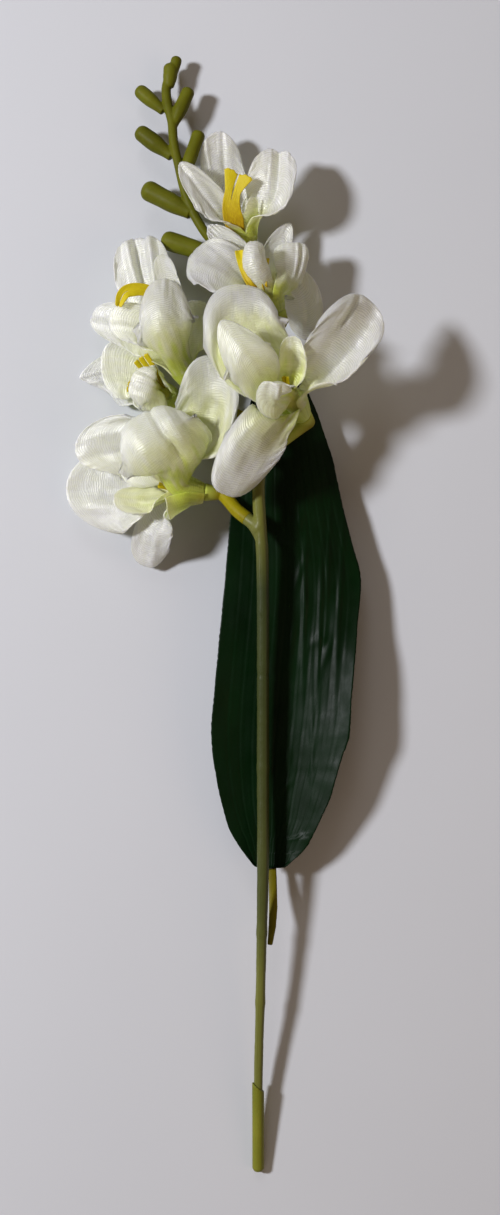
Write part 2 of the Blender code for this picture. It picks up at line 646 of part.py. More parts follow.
# height along its middle, and how far the right and the left edge rise above that
LEAF_HEIGHT = [(868, 8.6), (800, 10.0), (700, 12.2), (600, 13.6), (500, 14.0), (400, 11.5), (345, 9.5)]
LEAF_RIGHT_RISE = [(868, 1.0), (840, 4.0), (800, 7.0), (750, 7.6), (700, 6.4), (640, 2.0), (586, -2.8), (540, -4.8),
                   (500, -5.6), (460, -4.8), (400, -2.6), (345, -0.5)]
LEAF_LEFT_RISE = [(868, 1.0), (840, 2.2), (800, 3.0), (700, 3.2), (600, 2.4), (518, 1.6), (400, 0.5), (345, 0.0)]


def leaf_point(y, s):
    """s runs from -1 at the left edge to 1 at the right edge."""
    left, right = between(sorted(LEAF_LEFT), y), between(sorted(LEAF_RIGHT), y)
    rise = between(sorted(LEAF_RIGHT_RISE if s > 0 else LEAF_LEFT_RISE), y)
    z = between(sorted(LEAF_HEIGHT), y) + rise * abs(s) ** 1.6
    return plan(((left + right) / 2 + s * (right - left) / 2, y, z))


leaf_rows = [868 - (868 - 345) * (1 - math.cos(math.pi * i / 24)) / 2 for i in range(25)]
pts = [leaf_point(y, -1 + 2 * i / 8) for y in leaf_rows for i in range(9)]
quads = [(j * 9 + i, j * 9 + i + 1, (j + 1) * 9 + i + 1, (j + 1) * 9 + i) for j in range(24) for i in range(8)]
leaf = mesh_object("leaf", pts, quads)
s = leaf.modifiers.new("cloth", "SOLIDIFY")
s.thickness = LEAF_CLOTH * MM
s.offset = 0.0
finish(leaf, leaf_mat)

# ---------------------------------------------------------------- leaf stalk: a flat strap under the leaf, to the stem
# plan x and y, half width and half thickness; under the leaf it lies against the leaf's lower face
STRAP = [(279, 560, 0.9, 0.45), (276.5, 620, 1.0, 0.5), (274.5, 680, 1.2, 0.55), (273, 740, 1.3, 0.6),
         (272, 800, 1.4, 0.7), (272, 850, 1.4, 0.75), (272.7, 880, 1.4, 0.8), (273.4, 903, 1.5, 0.8),
         (272.4, 925, 1.35, 0.8), (269.9, 945, 0.9, 0.8)]
STRAP_FREE = {850: 6.8, 880: 7.0, 903: 8.2, 925: 10.2, 945: 12.0}


def strap_height(x, y, half_t):
    """Height of the strap's middle, in plan heights."""
    if y in STRAP_FREE:
        return STRAP_FREE[y]
    left, right = between(sorted(LEAF_LEFT), y), between(sorted(LEAF_RIGHT), y)
    low = min(leaf_point(y + dy, (2 * x - left - right) / (right - left) + ds)[2] for dy in (-10, 0, 10) for ds in (-0.07, 0, 0.07))
    return low + CENTRE[2] - LEAF_CLOTH / 2 - FIT - half_t - 0.05


STRAP = [(x, y, strap_height(x, y, t), w, t) for x, y, w, t in STRAP]
f_strap, _ = curve_through([plan(p[:3]) for p in STRAP])
pts, sides, ups, ws, ts = [], [], [], [], []
for i in range(22):
    pos, d = f_strap(i / 21)
    n0 = unit(np.array([0, 0, 1.0]) - d[2] * d)
    y = plan_y(pos)
    pts.append(pos)
    sides.append(np.cross(d, n0))
    ups.append(n0)
    ws.append(between([(p[1], p[3]) for p in STRAP], y))
    ts.append(between([(p[1], p[4]) for p in STRAP], y))
strap = loft("leaf_stalk", pts, sides, ups, ws, ts, 8)
finish(strap, stalk_mat)

# ---------------------------------------------------------------- tip with closed buds, one moulded piece
RACHIS = [(229.5, 264.5, 20.6), (216, 246, 20.0), (204, 231, 20.0), (194, 214, 19.6), (185.5, 194, 18.4), (178.5, 165, 16.4),
          (173.4, 140, 14.4), (172, 122, 12.8), (167.6, 104, 11.2), (166.2, 90, 10.0), (168.5, 79, 9.4)]
RACHIS_R = [(79, 1.45), (100, 1.45), (136, 1.4), (170, 1.35), (231, 1.4), (270, 1.5)]
# tip, base on the stalk, half width in mm
BUDS = [((171.5, 63, 9.2), (169, 87, 9.8), 2.45), ((177.5, 56, 9.6), (172, 78, 9.6), 1.75), ((136.5, 88, 8.4), (163.5, 111, 10.6), 2.35),
        ((136.5, 129.5, 10.0), (172, 156, 13.6), 2.8), ((190, 87.5, 11.5), (173, 126, 12.8), 2.3),
        ((200, 130.5, 13.0), (183, 178, 16.5), 2.25), ((142.5, 187.5, 12.0), (191, 213, 18.4), 3.3),
        ((161, 238.5, 15.0), (220, 257, 19.6), 3.1)]
rachis_run, _ = along(RACHIS, 26)
rachis_points = [p for p, _ in rachis_run]
buds = tube("bud_spray", rachis_points, [between(RACHIS_R, plan_y(p)) for p in rachis_points], 2)
for k, (tip, foot_at, w) in enumerate(BUDS):
    a_, b_ = plan(foot_at), plan(tip)
    ln = float(np.linalg.norm(b_ - a_))
    shape = [(0.0, ln), (w * 0.55, ln - w * 0.28), (w * 0.92, ln - w * 0.95), (w, ln * 0.62), (w * 0.93, ln * 0.38),
             (w * 0.68, ln * 0.14), (w * 0.4, 0.0), (0.0, -0.3)]
    buds = cut_or_join(buds, turned(f"bud{k}", shape, 14, a_, unit(b_ - a_)), "UNION")
finish(buds, bud_mat, "bud_spray")
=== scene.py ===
import math

import bmesh
import bpy
import numpy as np
from mathutils import Matrix, Vector


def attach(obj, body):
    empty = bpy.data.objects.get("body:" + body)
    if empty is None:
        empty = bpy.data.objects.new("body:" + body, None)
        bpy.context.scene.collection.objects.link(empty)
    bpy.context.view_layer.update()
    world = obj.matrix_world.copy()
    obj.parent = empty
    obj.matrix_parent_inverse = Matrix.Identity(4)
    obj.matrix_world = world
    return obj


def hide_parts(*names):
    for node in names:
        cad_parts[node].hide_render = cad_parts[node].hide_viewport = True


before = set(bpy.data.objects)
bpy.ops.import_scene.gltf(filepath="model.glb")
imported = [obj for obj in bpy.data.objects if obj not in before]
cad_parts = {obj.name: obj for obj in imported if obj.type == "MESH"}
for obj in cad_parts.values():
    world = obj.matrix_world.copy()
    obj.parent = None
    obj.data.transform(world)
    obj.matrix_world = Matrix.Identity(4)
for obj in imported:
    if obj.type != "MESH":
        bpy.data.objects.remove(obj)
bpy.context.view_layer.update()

MM = 0.001
GRID, SIGHT, EYE, CENTRE = 1.0 / 3.0, 600.0, (250.0, 607.5), (-9.385, -2.69, 0.34)
CLOTH = 0.26


# ---------------------------------------------------------------- geometry helpers (mm)
def droop(y):
    x = min(max((y - 245.0) / 60.0, 0.0), 1.0)
    return 0.66 + 0.34 * x * x * (3 - 2 * x)


def plan(p):
    x, y, z = p
    z = z * droop(y)
    k = GRID * (SIGHT - z) / SIGHT
    return np.array([(x - EYE[0]) * k - CENTRE[0], (EYE[1] - y) * k - CENTRE[1], z - CENTRE[2]], float)


def unit(v):
    v = np.asarray(v, float)
    return v / np.maximum(np.linalg.norm(v, axis=-1, keepdims=True), 1e-9)


def smooth(x, a=0.0, b=1.0):
    x = np.clip((np.asarray(x, float) - a) / (b - a), 0.0, 1.0)
    return x * x * (3 - 2 * x)


def dot(a, b):
    return np.sum(a * b, axis=-1, keepdims=True)


def curve_through(points, start=None, start_pull=0.75):
    pts = np.array([np.asarray(p, float) for p in points])
    d = np.linalg.norm(np.diff(pts, axis=0), axis=1)
    knots, total = np.concatenate([[0], np.cumsum(d)]) / d.sum(), float(d.sum())
    m = np.array([(pts[min(i + 1, len(pts) - 1)] - pts[max(i - 1, 0)]) / (knots[min(i + 1, len(pts) - 1)] - knots[max(i - 1, 0)]) for i in range(len(pts))])
    if start is not None:
        m[0] = start * total * start_pull
    if len(pts) > 2:
        m[-1] = 1.5 * (pts[-1] - pts[-2]) / (knots[-1] - knots[-2]) - 0.5 * m[-2]

    def f(t):
        t = np.clip(np.asarray(t, float), 0.0, 1.0)
        i = np.clip(np.searchsorted(knots, t, side="right") - 1, 0, len(pts) - 2)
        h = (knots[i + 1] - knots[i])[..., None]
        x = (t - knots[i])[..., None] / h
        x2, x3 = x * x, x * x * x
        place = (2 * x3 - 3 * x2 + 1) * pts[i] + (x3 - 2 * x2 + x) * h * m[i] + (3 * x2 - 2 * x3) * pts[i + 1] + (x3 - x2) * h * m[i + 1]
        way = (6 * x2 - 6 * x) * pts[i] + (3 * x2 - 4 * x + 1) * h * m[i] + (6 * x - 6 * x2) * pts[i + 1] + (3 * x2 - 2 * x) * h * m[i + 1]
        return place, unit(way)
    return f, total


def between(stops, x):
    xs, vs = zip(*sorted(stops))
    return np.interp(x, xs, vs)


def ripples(x, y, seed, size, n=7):
    """A smooth random field of about -1 to 1 over (x, y), with features about size across."""
    rng = np.random.default_rng(seed)
    out = np.zeros(np.broadcast(x, y).shape)
    for _ in range(n):
        a, k, ph = rng.uniform(0, math.pi), rng.uniform(0.7, 1.5), rng.uniform(0, 2 * math.pi)
        out = out + np.sin(2 * math.pi * (math.cos(a) * x + math.sin(a) * y) * k / size + ph)
    return out / math.sqrt(n) * 0.8


# ---------------------------------------------------------------- object helpers
def mesh_object(name, points_mm, faces, attributes=None):
    me = bpy.data.meshes.new(name)
    me.from_pydata([tuple(p) for p in np.asarray(points_mm) * MM], [], [tuple(int(i) for i in q) for q in faces])
    me.update()
    for key, values in (attributes or {}).items():
        values = np.asarray(values, np.float32)
        kind = "FLOAT_VECTOR" if values.ndim == 2 else "FLOAT"
        at = me.attributes.new(key, kind, "POINT")
        at.data.foreach_set("vector" if kind == "FLOAT_VECTOR" else "value", values.ravel())
    obj = bpy.data.objects.new(name, me)
    bpy.context.scene.collection.objects.link(obj)
    me.shade_smooth()
    return obj


def settle(obj):
    """Applies the object's modifiers."""
    bpy.context.view_layer.update()
    dg = bpy.context.evaluated_depsgraph_get()
    me = bpy.data.meshes.new_from_object(obj.evaluated_get(dg), preserve_all_data_layers=True, depsgraph=dg)
    old = obj.data
    obj.modifiers.clear()
    obj.data = me
    me.name = obj.name
    bpy.data.meshes.remove(old)
    return obj


def put(obj, mat, slot, *nodes, body="root"):
    obj.data.materials.clear()
    obj.data.materials.append(mat)
    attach(obj, body)
    if nodes:
        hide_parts(*nodes)
    return obj


def sweep(name, centres, radii, sides=32, ridge=None, attributes=None, caps=True):
    """A closed round tube with one radius, or one row of radii, for each centre."""
    centres = np.asarray(centres, float)
    k = len(centres)
    ways = unit(np.gradient(centres, axis=0))
    up = np.array([0, 0, 1.0])
    n0 = unit(up - dot(np.broadcast_to(up, ways.shape), ways) * ways)
    w0 = np.cross(ways, n0)
    a = np.linspace(0, 2 * math.pi, sides, endpoint=False)
    r = np.asarray(radii, float)
    if r.ndim == 1:
        r = np.repeat(r[:, None], sides, axis=1)
    if ridge is not None:
        r = r + ridge(a[None, :], np.arange(k)[:, None])
    P = centres[:, None, :] + r[..., None] * (np.cos(a)[None, :, None] * w0[:, None, :] + np.sin(a)[None, :, None] * n0[:, None, :])
    pts = P.reshape(-1, 3)
    faces = []
    for j in range(k - 1):
        for i in range(sides):
            i2 = (i + 1) % sides
            faces.append((j * sides + i, (j + 1) * sides + i, (j + 1) * sides + i2, j * sides + i2))
    if caps:
        faces.append(tuple(range(sides)))
        faces.append(tuple(reversed([(k - 1) * sides + i for i in range(sides)])))
    length = np.concatenate([[0], np.cumsum(np.linalg.norm(np.diff(centres, axis=0), axis=1))])
    st = np.stack([np.broadcast_to(a[None, :] * r, r.shape), np.broadcast_to(length[:, None], r.shape), np.broadcast_to(np.linspace(0, 1, k)[:, None], r.shape)], axis=-1).reshape(-1, 3)
    obj = mesh_object(name, pts, faces, {"st": st})
    bm = bmesh.new(); bm.from_mesh(obj.data); bmesh.ops.recalc_face_normals(bm, faces=bm.faces); bm.to_mesh(obj.data); bm.free()
    return obj


# ---------------------------------------------------------------- node materials
def new_material(name, **sockets):
    m = bpy.data.materials.new(name)
    m.use_nodes = True
    nt = m.node_tree
    b = nt.nodes["Principled BSDF"]
    for key, value in sockets.items():
        b.inputs[key.replace("_", " ")].default_value = value
    return m, nt, b


def node(nt, kind, **values):
    n = nt.nodes.new(kind)
    for key, value in values.items():
        if hasattr(n, key):
            setattr(n, key, value)
        else:
            n.inputs[key].default_value = value
    return n


def link(nt, a, b):
    nt.links.new(a, b)


def math_node(nt, op, a, b=None, c=None):
    n = nt.nodes.new("ShaderNodeMath")
    n.operation = op
    for i, x in enumerate((a, b, c)):
        if x is None:
            continue
        if isinstance(x, (int, float)):
            n.inputs[i].default_value = x
        else:
            nt.links.new(x, n.inputs[i])
    return n.outputs[0]


def mix_colour(nt, fac, a, b, mode="MIX"):
    n = nt.nodes.new("ShaderNodeMix")
    n.data_type = "RGBA"
    n.blend_type = mode
    for sock, x in ((n.inputs["Factor"], fac), (n.inputs["A"], a), (n.inputs["B"], b)):
        if isinstance(x, (int, float)):
            sock.default_value = x
        elif isinstance(x, tuple):
            sock.default_value = (*x, 1.0) if len(x) == 3 else x
        else:
            nt.links.new(x, sock)
    return n.outputs["Result"]


def attribute(nt, name, out="Vector"):
    n = nt.nodes.new("ShaderNodeAttribute")
    n.attribute_name = name
    return n.outputs[out]


def scaled(nt, vector, scale):
    n = nt.nodes.new("ShaderNodeVectorMath")
    n.operation = "MULTIPLY"
    nt.links.new(vector, n.inputs[0])
    n.inputs[1].default_value = scale
    return n.outputs[0]


def noise(nt, vector, scale, detail=3.0, rough=0.5):
    n = nt.nodes.new("ShaderNodeTexNoise")
    n.inputs["Scale"].default_value = scale
    n.inputs["Detail"].default_value = detail
    n.inputs["Roughness"].default_value = rough
    nt.links.new(vector, n.inputs["Vector"])
    return n.outputs["Fac"]


def span(nt, x, lo, hi, to_lo=0.0, to_hi=1.0):
    n = nt.nodes.new("ShaderNodeMapRange")
    nt.links.new(x, n.inputs["Value"])
    for key, v in (("From Min", lo), ("From Max", hi), ("To Min", to_lo), ("To Max", to_hi)):
        n.inputs[key].default_value = v
    return n.outputs["Result"]


def bump(nt, height, distance, strength=1.0, normal=None):
    n = nt.nodes.new("ShaderNodeBump")
    n.inputs["Strength"].default_value = strength
    n.inputs["Distance"].default_value = distance
    nt.links.new(height, n.inputs["Height"])
    if normal is not None:
        nt.links.new(normal, n.inputs["Normal"])
    return n.outputs["Normal"]


def object_vector(nt):
    return nt.nodes.new("ShaderNodeTexCoord").outputs["Object"]


def petal_material():
    m, nt, b = new_material("petal_satin", Metallic=0.04, Roughness=0.38, Sheen_Weight=0.10, Sheen_Roughness=0.35, Specular_IOR_Level=0.72,
                            Subsurface_Weight=0.80, Subsurface_Scale=0.003)
    b.inputs["Subsurface Radius"].default_value = (1.0, 1.0, 0.75)
    b.inputs["Sheen Tint"].default_value = (1, 1, 1, 1)
    st = attribute(nt, "st")
    tint = attribute(nt, "tint", "Fac")
    hem = attribute(nt, "hem", "Fac")
    sep = nt.nodes.new("ShaderNodeSeparateXYZ")
    link(nt, st, sep.inputs[0])
    # weave: warp threads along the petal, weft ribs across it
    wob = noise(nt, scaled(nt, st, (0.25, 0.25, 0.0)), 1.0, 2.0)
    wx = math_node(nt, "ADD", sep.outputs[0], math_node(nt, "MULTIPLY", wob, 0.6))
    wy = math_node(nt, "ADD", math_node(nt, "ADD", sep.outputs[1], math_node(nt, "MULTIPLY", sep.outputs[0], 0.12)), math_node(nt, "MULTIPLY", wob, 1.6))
    warp = math_node(nt, "ABSOLUTE", math_node(nt, "SINE", math_node(nt, "MULTIPLY", wx, math.pi / 0.46)))
    weft = math_node(nt, "ABSOLUTE", math_node(nt, "SINE", math_node(nt, "MULTIPLY", wy, math.pi / 0.74)))
    thread = math_node(nt, "ADD", math_node(nt, "MULTIPLY", warp, 0.30), math_node(nt, "MULTIPLY", weft, 0.90))
    slub = noise(nt, scaled(nt, st, (0.45, 2.6, 0.0)), 1.0, 3.0, 0.65)
    vein = noise(nt, scaled(nt, st, (1.3, 0.10, 0.0)), 1.0, 3.0, 0.55)
    cloud = noise(nt, scaled(nt, st, (0.16, 0.11, 0.0)), 1.0, 2.0)
    white = mix_colour(nt, span(nt, cloud, 0.35, 0.65), (0.845, 0.875, 0.62), (0.91, 0.935, 0.77))
    white = mix_colour(nt, span(nt, slub, 0.45, 0.75, 0.0, 0.45), white, (0.96, 0.965, 0.93))
    # painted shade: the white is darkened towards (0.58, 0.59, 0.42) in the grooves between the weft ribs, on top of
    # the real bump
    white = mix_colour(nt, span(nt, weft, 0.0, 0.5, 0.66, 0.0), white, (0.58, 0.59, 0.42))
    pale = mix_colour(nt, span(nt, vein, 0.3, 0.7), (0.75, 0.81, 0.28), (0.84, 0.885, 0.44))
    green = mix_colour(nt, span(nt, vein, 0.35, 0.65), (0.52, 0.68, 0.03), (0.68, 0.82, 0.09))
    edge = math_node(nt, "ADD", tint, math_node(nt, "MULTIPLY", math_node(nt, "SUBTRACT", vein, 0.5), 0.30))
    colour = mix_colour(nt, span(nt, edge, 0.00, 0.50), white, pale)
    colour = mix_colour(nt, span(nt, edge, 0.60, 1.0), colour, green)
    deep = attribute(nt, "deep", "Fac")
    colour = mix_colour(nt, deep, colour, (0.55, 0.40, 0.03))
    # the cut edge shows the white thread ends
    torn = span(nt, noise(nt, scaled(nt, st, (3.0, 3.0, 0.0)), 1.0, 2.0), 0.42, 0.72)
    colour = mix_colour(nt, math_node(nt, "MULTIPLY", hem, torn), colour, (0.93, 0.93, 0.90))
    link(nt, colour, b.inputs["Base Color"])
    link(nt, span(nt, slub, 0.3, 0.7, 0.31, 0.45), b.inputs["Roughness"])
    height = math_node(nt, "ADD", math_node(nt, "MULTIPLY", thread, 0.6), math_node(nt, "MULTIPLY", slub, 0.6))
    n1 = bump(nt, height, 0.000120, 1.0)
    n2 = bump(nt, vein, 0.00014, 0.7, n1)
    link(nt, n2, b.inputs["Normal"])
    return m


def plastic_material(name, dark, light, roughness, spec=0.5, streak=(60, 60, 600), wear=None, subsurface=0.06):
    m, nt, b = new_material(name, Roughness=roughness, Specular_IOR_Level=spec, Subsurface_Weight=subsurface, Subsurface_Scale=0.001)
    v = object_vector(nt)
    big = noise(nt, scaled(nt, v, streak), 1.0, 3.0, 0.6)
    fine = noise(nt, v, 2600.0, 3.0, 0.6)
    colour = mix_colour(nt, span(nt, big, 0.3, 0.7), dark, light)
    colour = mix_colour(nt, span(nt, fine, 0.55, 0.8, 0.0, 0.25), colour, tuple(min(1.0, c * 1.5 + 0.004) for c in light))
    link(nt, colour, b.inputs["Base Color"])
    link(nt, span(nt, fine, 0.3, 0.7, roughness - 0.07, roughness + 0.10), b.inputs["Roughness"])
    med = noise(nt, v, 700.0, 4.0, 0.55)
    link(nt, bump(nt, fine, 0.00002, 0.5, bump(nt, med, 0.00012, 0.5)), b.inputs["Normal"])
    return m


def leaf_material():
    m, nt, b = new_material("leaf_coated", Roughness=0.42, Specular_IOR_Level=0.12, Sheen_Weight=0.0, Sheen_Roughness=0.4)
    b.inputs["Sheen Tint"].default_value = (0.55, 0.75, 0.75, 1)
    st = attribute(nt, "st")
    v = object_vector(nt)
    cloud = noise(nt, scaled(nt, st, (0.09, 0.035, 0.0)), 1.0, 3.0, 0.55)
    blot = noise(nt, scaled(nt, st, (0.22, 0.10, 0.0)), 1.0, 4.0, 0.6)
    cloth = noise(nt, scaled(nt, st, (5.5, 2.8, 0.0)), 1.0, 2.0, 0.6)
    colour = mix_colour(nt, span(nt, cloud, 0.3, 0.7), (0.0005, 0.0080, 0.0008), (0.0014, 0.0140, 0.0022))
    colour = mix_colour(nt, span(nt, cloth, 0.5, 0.8, 0.0, 0.4), colour, (0.0035, 0.020, 0.008))
    link(nt, colour, b.inputs["Base Color"])
    link(nt, span(nt, blot, 0.35, 0.65, 0.38, 0.54), b.inputs["Roughness"])
    n1 = bump(nt, cloth, 0.00004, 0.8)
    link(nt, bump(nt, blot, 0.0003, 0.35, n1), b.inputs["Normal"])
    return m


def stamen_material():
    m, nt, b = new_material("stamen_yellow", Roughness=0.5, Specular_IOR_Level=0.3)
    st = attribute(nt, "st")
    sep = nt.nodes.new("ShaderNodeSeparateXYZ")
    link(nt, st, sep.inputs[0])
    v = object_vector(nt)
    grain = noise(nt, scaled(nt, st, (3.0, 0.6, 0.0)), 1.0, 3.0, 0.6)
    deep = span(nt, math_node(nt, "ADD", sep.outputs[2], math_node(nt, "MULTIPLY", grain, 0.25)), 0.45, 0.95)
    colour = mix_colour(nt, deep, (0.36, 0.20, 0.002), (0.62, 0.50, 0.006))
    colour = mix_colour(nt, span(nt, grain, 0.5, 0.8, 0.0, 0.5), colour, (0.80, 0.68, 0.012))
    link(nt, colour, b.inputs["Base Color"])
    link(nt, bump(nt, grain, 0.0002, 0.7, bump(nt, noise(nt, v, 3000.0, 2.0), 0.00003, 0.6)), b.inputs["Normal"])
    return m


# ---------------------------------------------------------------- flowers
def petal(n, th, mid, tip, W, rm, rt, cm, ct, p, tm, tr=0.4, wb=1.0, tb=0.35):
    return dict(n=n, th=th, mid=mid, tip=tip, W=W, rm=rm, rt=rt, cm=cm, ct=ct, p=p, tm=tm, tr=tr, wb=wb, tb=tb)


FLOWERS = {
    "flower_1": dict(
        base=(248.5, 246, 14.5), mouth=(245, 233, 16), in_ax=1.6, leaves_stem=300,
        stamens=((236, 177, 27.0), 3.4, 3, 0, 0.0),
        outer=dict(r=4.2, r0=2.6, petals=[
            petal("R", 70, [(271, 194, 23)], (275, 149, 24), 9.0, -150, -180, 0.5, 0.5, 2.4, 0.45),
            petal("T", 180, [(225, 182, 8)], (217, 132, 16), 7.2, 180, 180, 0.4, 0.4, 2.3, 0.55),
            petal("L", -70, [(209, 201, 21)], (180, 162, 21), 5.6, 150, 180, 0.2, 0.2, 1.7, 0.45),
        ]),
        inner=dict(r=2.9, r0=1.7, petals=[
            petal("Q", 45, [(252.5, 214, 24.5)], (254.5, 197, 27), 2.9, -40, -50, 0.8, 0.5, 2.6, 0.5),
            petal("Hr", 128, [(246.5, 210, 12.4)], (249.5, 196, 13.2), 1.8, -180, -180, 0.8, 0.5, 2.2, 0.5, wb=0.4, tb=0.2),
            petal("Hl", -150, [(236.5, 214, 10.6)], (232, 200, 11.2), 1.7, 180, 180, 0.8, 0.5, 2.2, 0.5, wb=0.4, tb=0.2),
        ]),
    ),
    "flower_2": dict(
        base=(277, 312, 20), mouth=(271, 298, 22), in_ax=1.6, leaves_stem=350,
        stamens=((253, 252, 32.5), 2.0, 2, 0, -0.4),
        outer=dict(r=4.4, r0=2.6, petals=[
            petal("R", 60, [(291, 272, 26)], (291, 242, 27.5), 6.0, -20, 0, 0.6, 0.5, 4, 0.8, wb=0.85),
            petal("Sh", 160, [(292, 284, 15), (303, 305, 9)], (304, 340, 0.75), 6.5, -180, -200, 0.2, 0, 2.2, 0.5),
            petal("L", -60, [(224, 272, 30.5)], (193, 250, 27.5), 10, 150, 180, 0.25, 0.25, 2.3, 0.5, wb=0.8),
        ]),
        inner=dict(r=3.0, r0=1.7, petals=[
            petal("F", 0, [(255, 262, 41.5)], (254, 240, 43), 6.5, 0, 0, 2.0, 2.2, 4, 0.8, wb=0.9),
            petal("B", 122, [(275, 257, 16)], (290, 224, 15), 4.8, 180, 180, 0.5, 0.3, 1.9, 0.5, wb=0.5),
            petal("Bh", -178, [(239, 256, 26.8)], (208, 226, 26.8), 4.6, 180, 180, 0.3, 0.3, 2.0, 0.55, wb=0.35, tb=0.2),
        ]),
    ),
    "flower_3": dict(
        base=(189, 383, 17), mouth=(183, 369, 19), in_ax=1.6, leaves_stem=430,
        stamens=((124, 290, 21.0), 3.0, 3, 0, 2.2),
        outer=dict(r=4.4, r0=2.6, petals=[
            petal("F", 0, [(166, 325, 35)], (164, 277, 31.5), 10, 0, 0, 0.8, 0.7, 2.5, 0.5),
            petal("R", 120, [(196, 338, 13)], (195, 300, 13), 6.6, -180, -180, 0.4, 0.3, 2.3, 0.5),
            petal("S", -120, [(136, 332, 12.5)], (92, 316, 6), 7, 180, 180, 0.2, 0.4, 2.3, 0.6),
        ]),
        inner=dict(r=3.0, r0=1.7, petals=[
            petal("X", 60, [(172, 300, 25)], (161, 255, 25), 4.2, -170, -180, 0.8, 0.5, 2.3, 0.6),
            petal("K", 180, [(150, 295, 16.5)], (138, 238, 17.5), 9.2, 180, 180, 0.4, 0.5, 2.6, 0.7),
            petal("M", -60, [(142, 328, 23.2)], (109, 320, 22.4), 7.2, 150, 180, 0.3, 0.4, 2.4, 0.5, wb=0.75),
        ]),
    ),
    "flower_4": dict(
        base=(184, 406, 10), mouth=(168, 398, 11), in_ax=1.5, leaves_stem=460,
        stamens=((136, 361, 15.2), 2.3, 3, 0, 0.0),
        outer=dict(r=4.2, r0=2.6, petals=[
            petal("U", 50, [(168, 384, 17.5)], (159, 371, 20.5), 3.6, -80, -80, 0.2, 0.2, 2.3, 0.5, wb=0.7, tb=0.25),
            petal("P", 180, [(120, 374, 2.8)], (79, 378, 0.55), 10, 180, 180, 0.15, 0.1, 1.3, 0.4),
            petal("Lo", -70, [(156, 422, 7.8)], (136, 429, 6), 3.6, 100, 130, 0.3, 0.2, 2.2, 0.5, wb=0.4, tb=0.2),
        ]),
        inner=dict(r=3.0, r0=1.7, petals=[
            petal("Ft", 0, [(153, 388, 24.5)], (130, 380, 24), 8.0, 0, 0, 0.8, 0.7, 2.8, 0.45),
            petal("Po", 120, [(128, 370, 8.5)], (101, 369, 9), 10.5, -180, -180, 0.25, 0.35, 2.3, 0.6),
            petal("Hd", -120, [(147, 403, 11.6)], (134, 397, 12.4), 3.2, 180, 180, 0.8, 0.5, 2.2, 0.5),
        ]),
    ),
    "flower_5": dict(
        base=(303, 416, 23), mouth=(292, 402, 29), in_ax=1.5, leaves_stem=455,
        stamens=((285, 376, 35.3), 1.2, 2, 0, 0.0),
        outer=dict(r=5.2, r0=2.6, petals=[
            petal("R1", 60, [(311, 385, 33), (335, 351, 33)], (370, 299, 31.5), 11.4, -170, -180, 0.8, 0.6, 2.3, 0.4, tr=0.22),
            petal("C2", 180, [(246, 340, 34)], (240, 282, 37.5), 12.5, 180, 180, 0.3, 0.4, 2.5, 0.5),
            petal("D", -60, [(273, 423, 38), (250, 449, 37)], (223, 495, 33), 9.2, 180, 180, -0.2, -0.3, 2.8, 0.3, tr=0.2),
        ]),
        inner=dict(r=3.4, r0=1.7, petals=[
            petal("M", -8, [(276, 400, 42)], (277, 385, 47), 6.6, 0, 0, 1.2, 1.0, 2.8, 0.6),
            petal("O", 120, [(292, 366, 36)], (292, 336, 38), 5.4, -180, -180, 1.0, 1.0, 2.2, 0.5),
            petal("W", -120, [(251, 363, 46.5)], (221, 320, 46), 8.4, 180, 180, -0.3, -0.5, 1.7, 0.5),
        ]),
    ),
    "flower_6": dict(
        base=(204, 492, 17), mouth=(186, 490, 18), in_ax=1.7, leaves_stem=530,
        stamens=((145, 480, 22.6), 1.5, 2, 0, 0.0),
        outer=dict(r=5.0, r0=2.6, petals=[
            petal("T", 5, [(175, 462, 32.6), (157, 438, 37)], (143, 411, 31), 15.5, 0, 0, 0.6, 0.5, 2.6, 0.45),
            petal("C1", 115, [(192, 458, 16.5), (207, 425, 23.5), (211, 395, 27)], (208, 355, 29), 11.2, -160, -180, 0.4, 0.45, 2.4, 0.6, tr=0.45),
            petal("Bt", -105, [(168, 512, 14), (153, 535, 11)], (146, 566, 4), 7.0, 150, 180, 0.3, -0.3, 2.3, 0.55),
        ]),
        inner=dict(r=3.4, r0=1.7, petals=[
            petal("L2", 180, [(125, 490, 5)], (66, 490, 8), 15.5, 180, 180, 0.5, 0.5, 2.2, 0.45),
            petal("L1", 75, [(126, 446, 16)], (76, 455, 15.5), 10, -160, -180, 0.3, 0.3, 2.2, 0.45, wb=0.8),
            petal("I", -65, [(141, 502, 16.6)], (113, 500, 20), 5.6, 150, 150, 0.4, 0.4, 2.2, 0.5, wb=0.6, tb=0.25),
        ]),
    ),
}


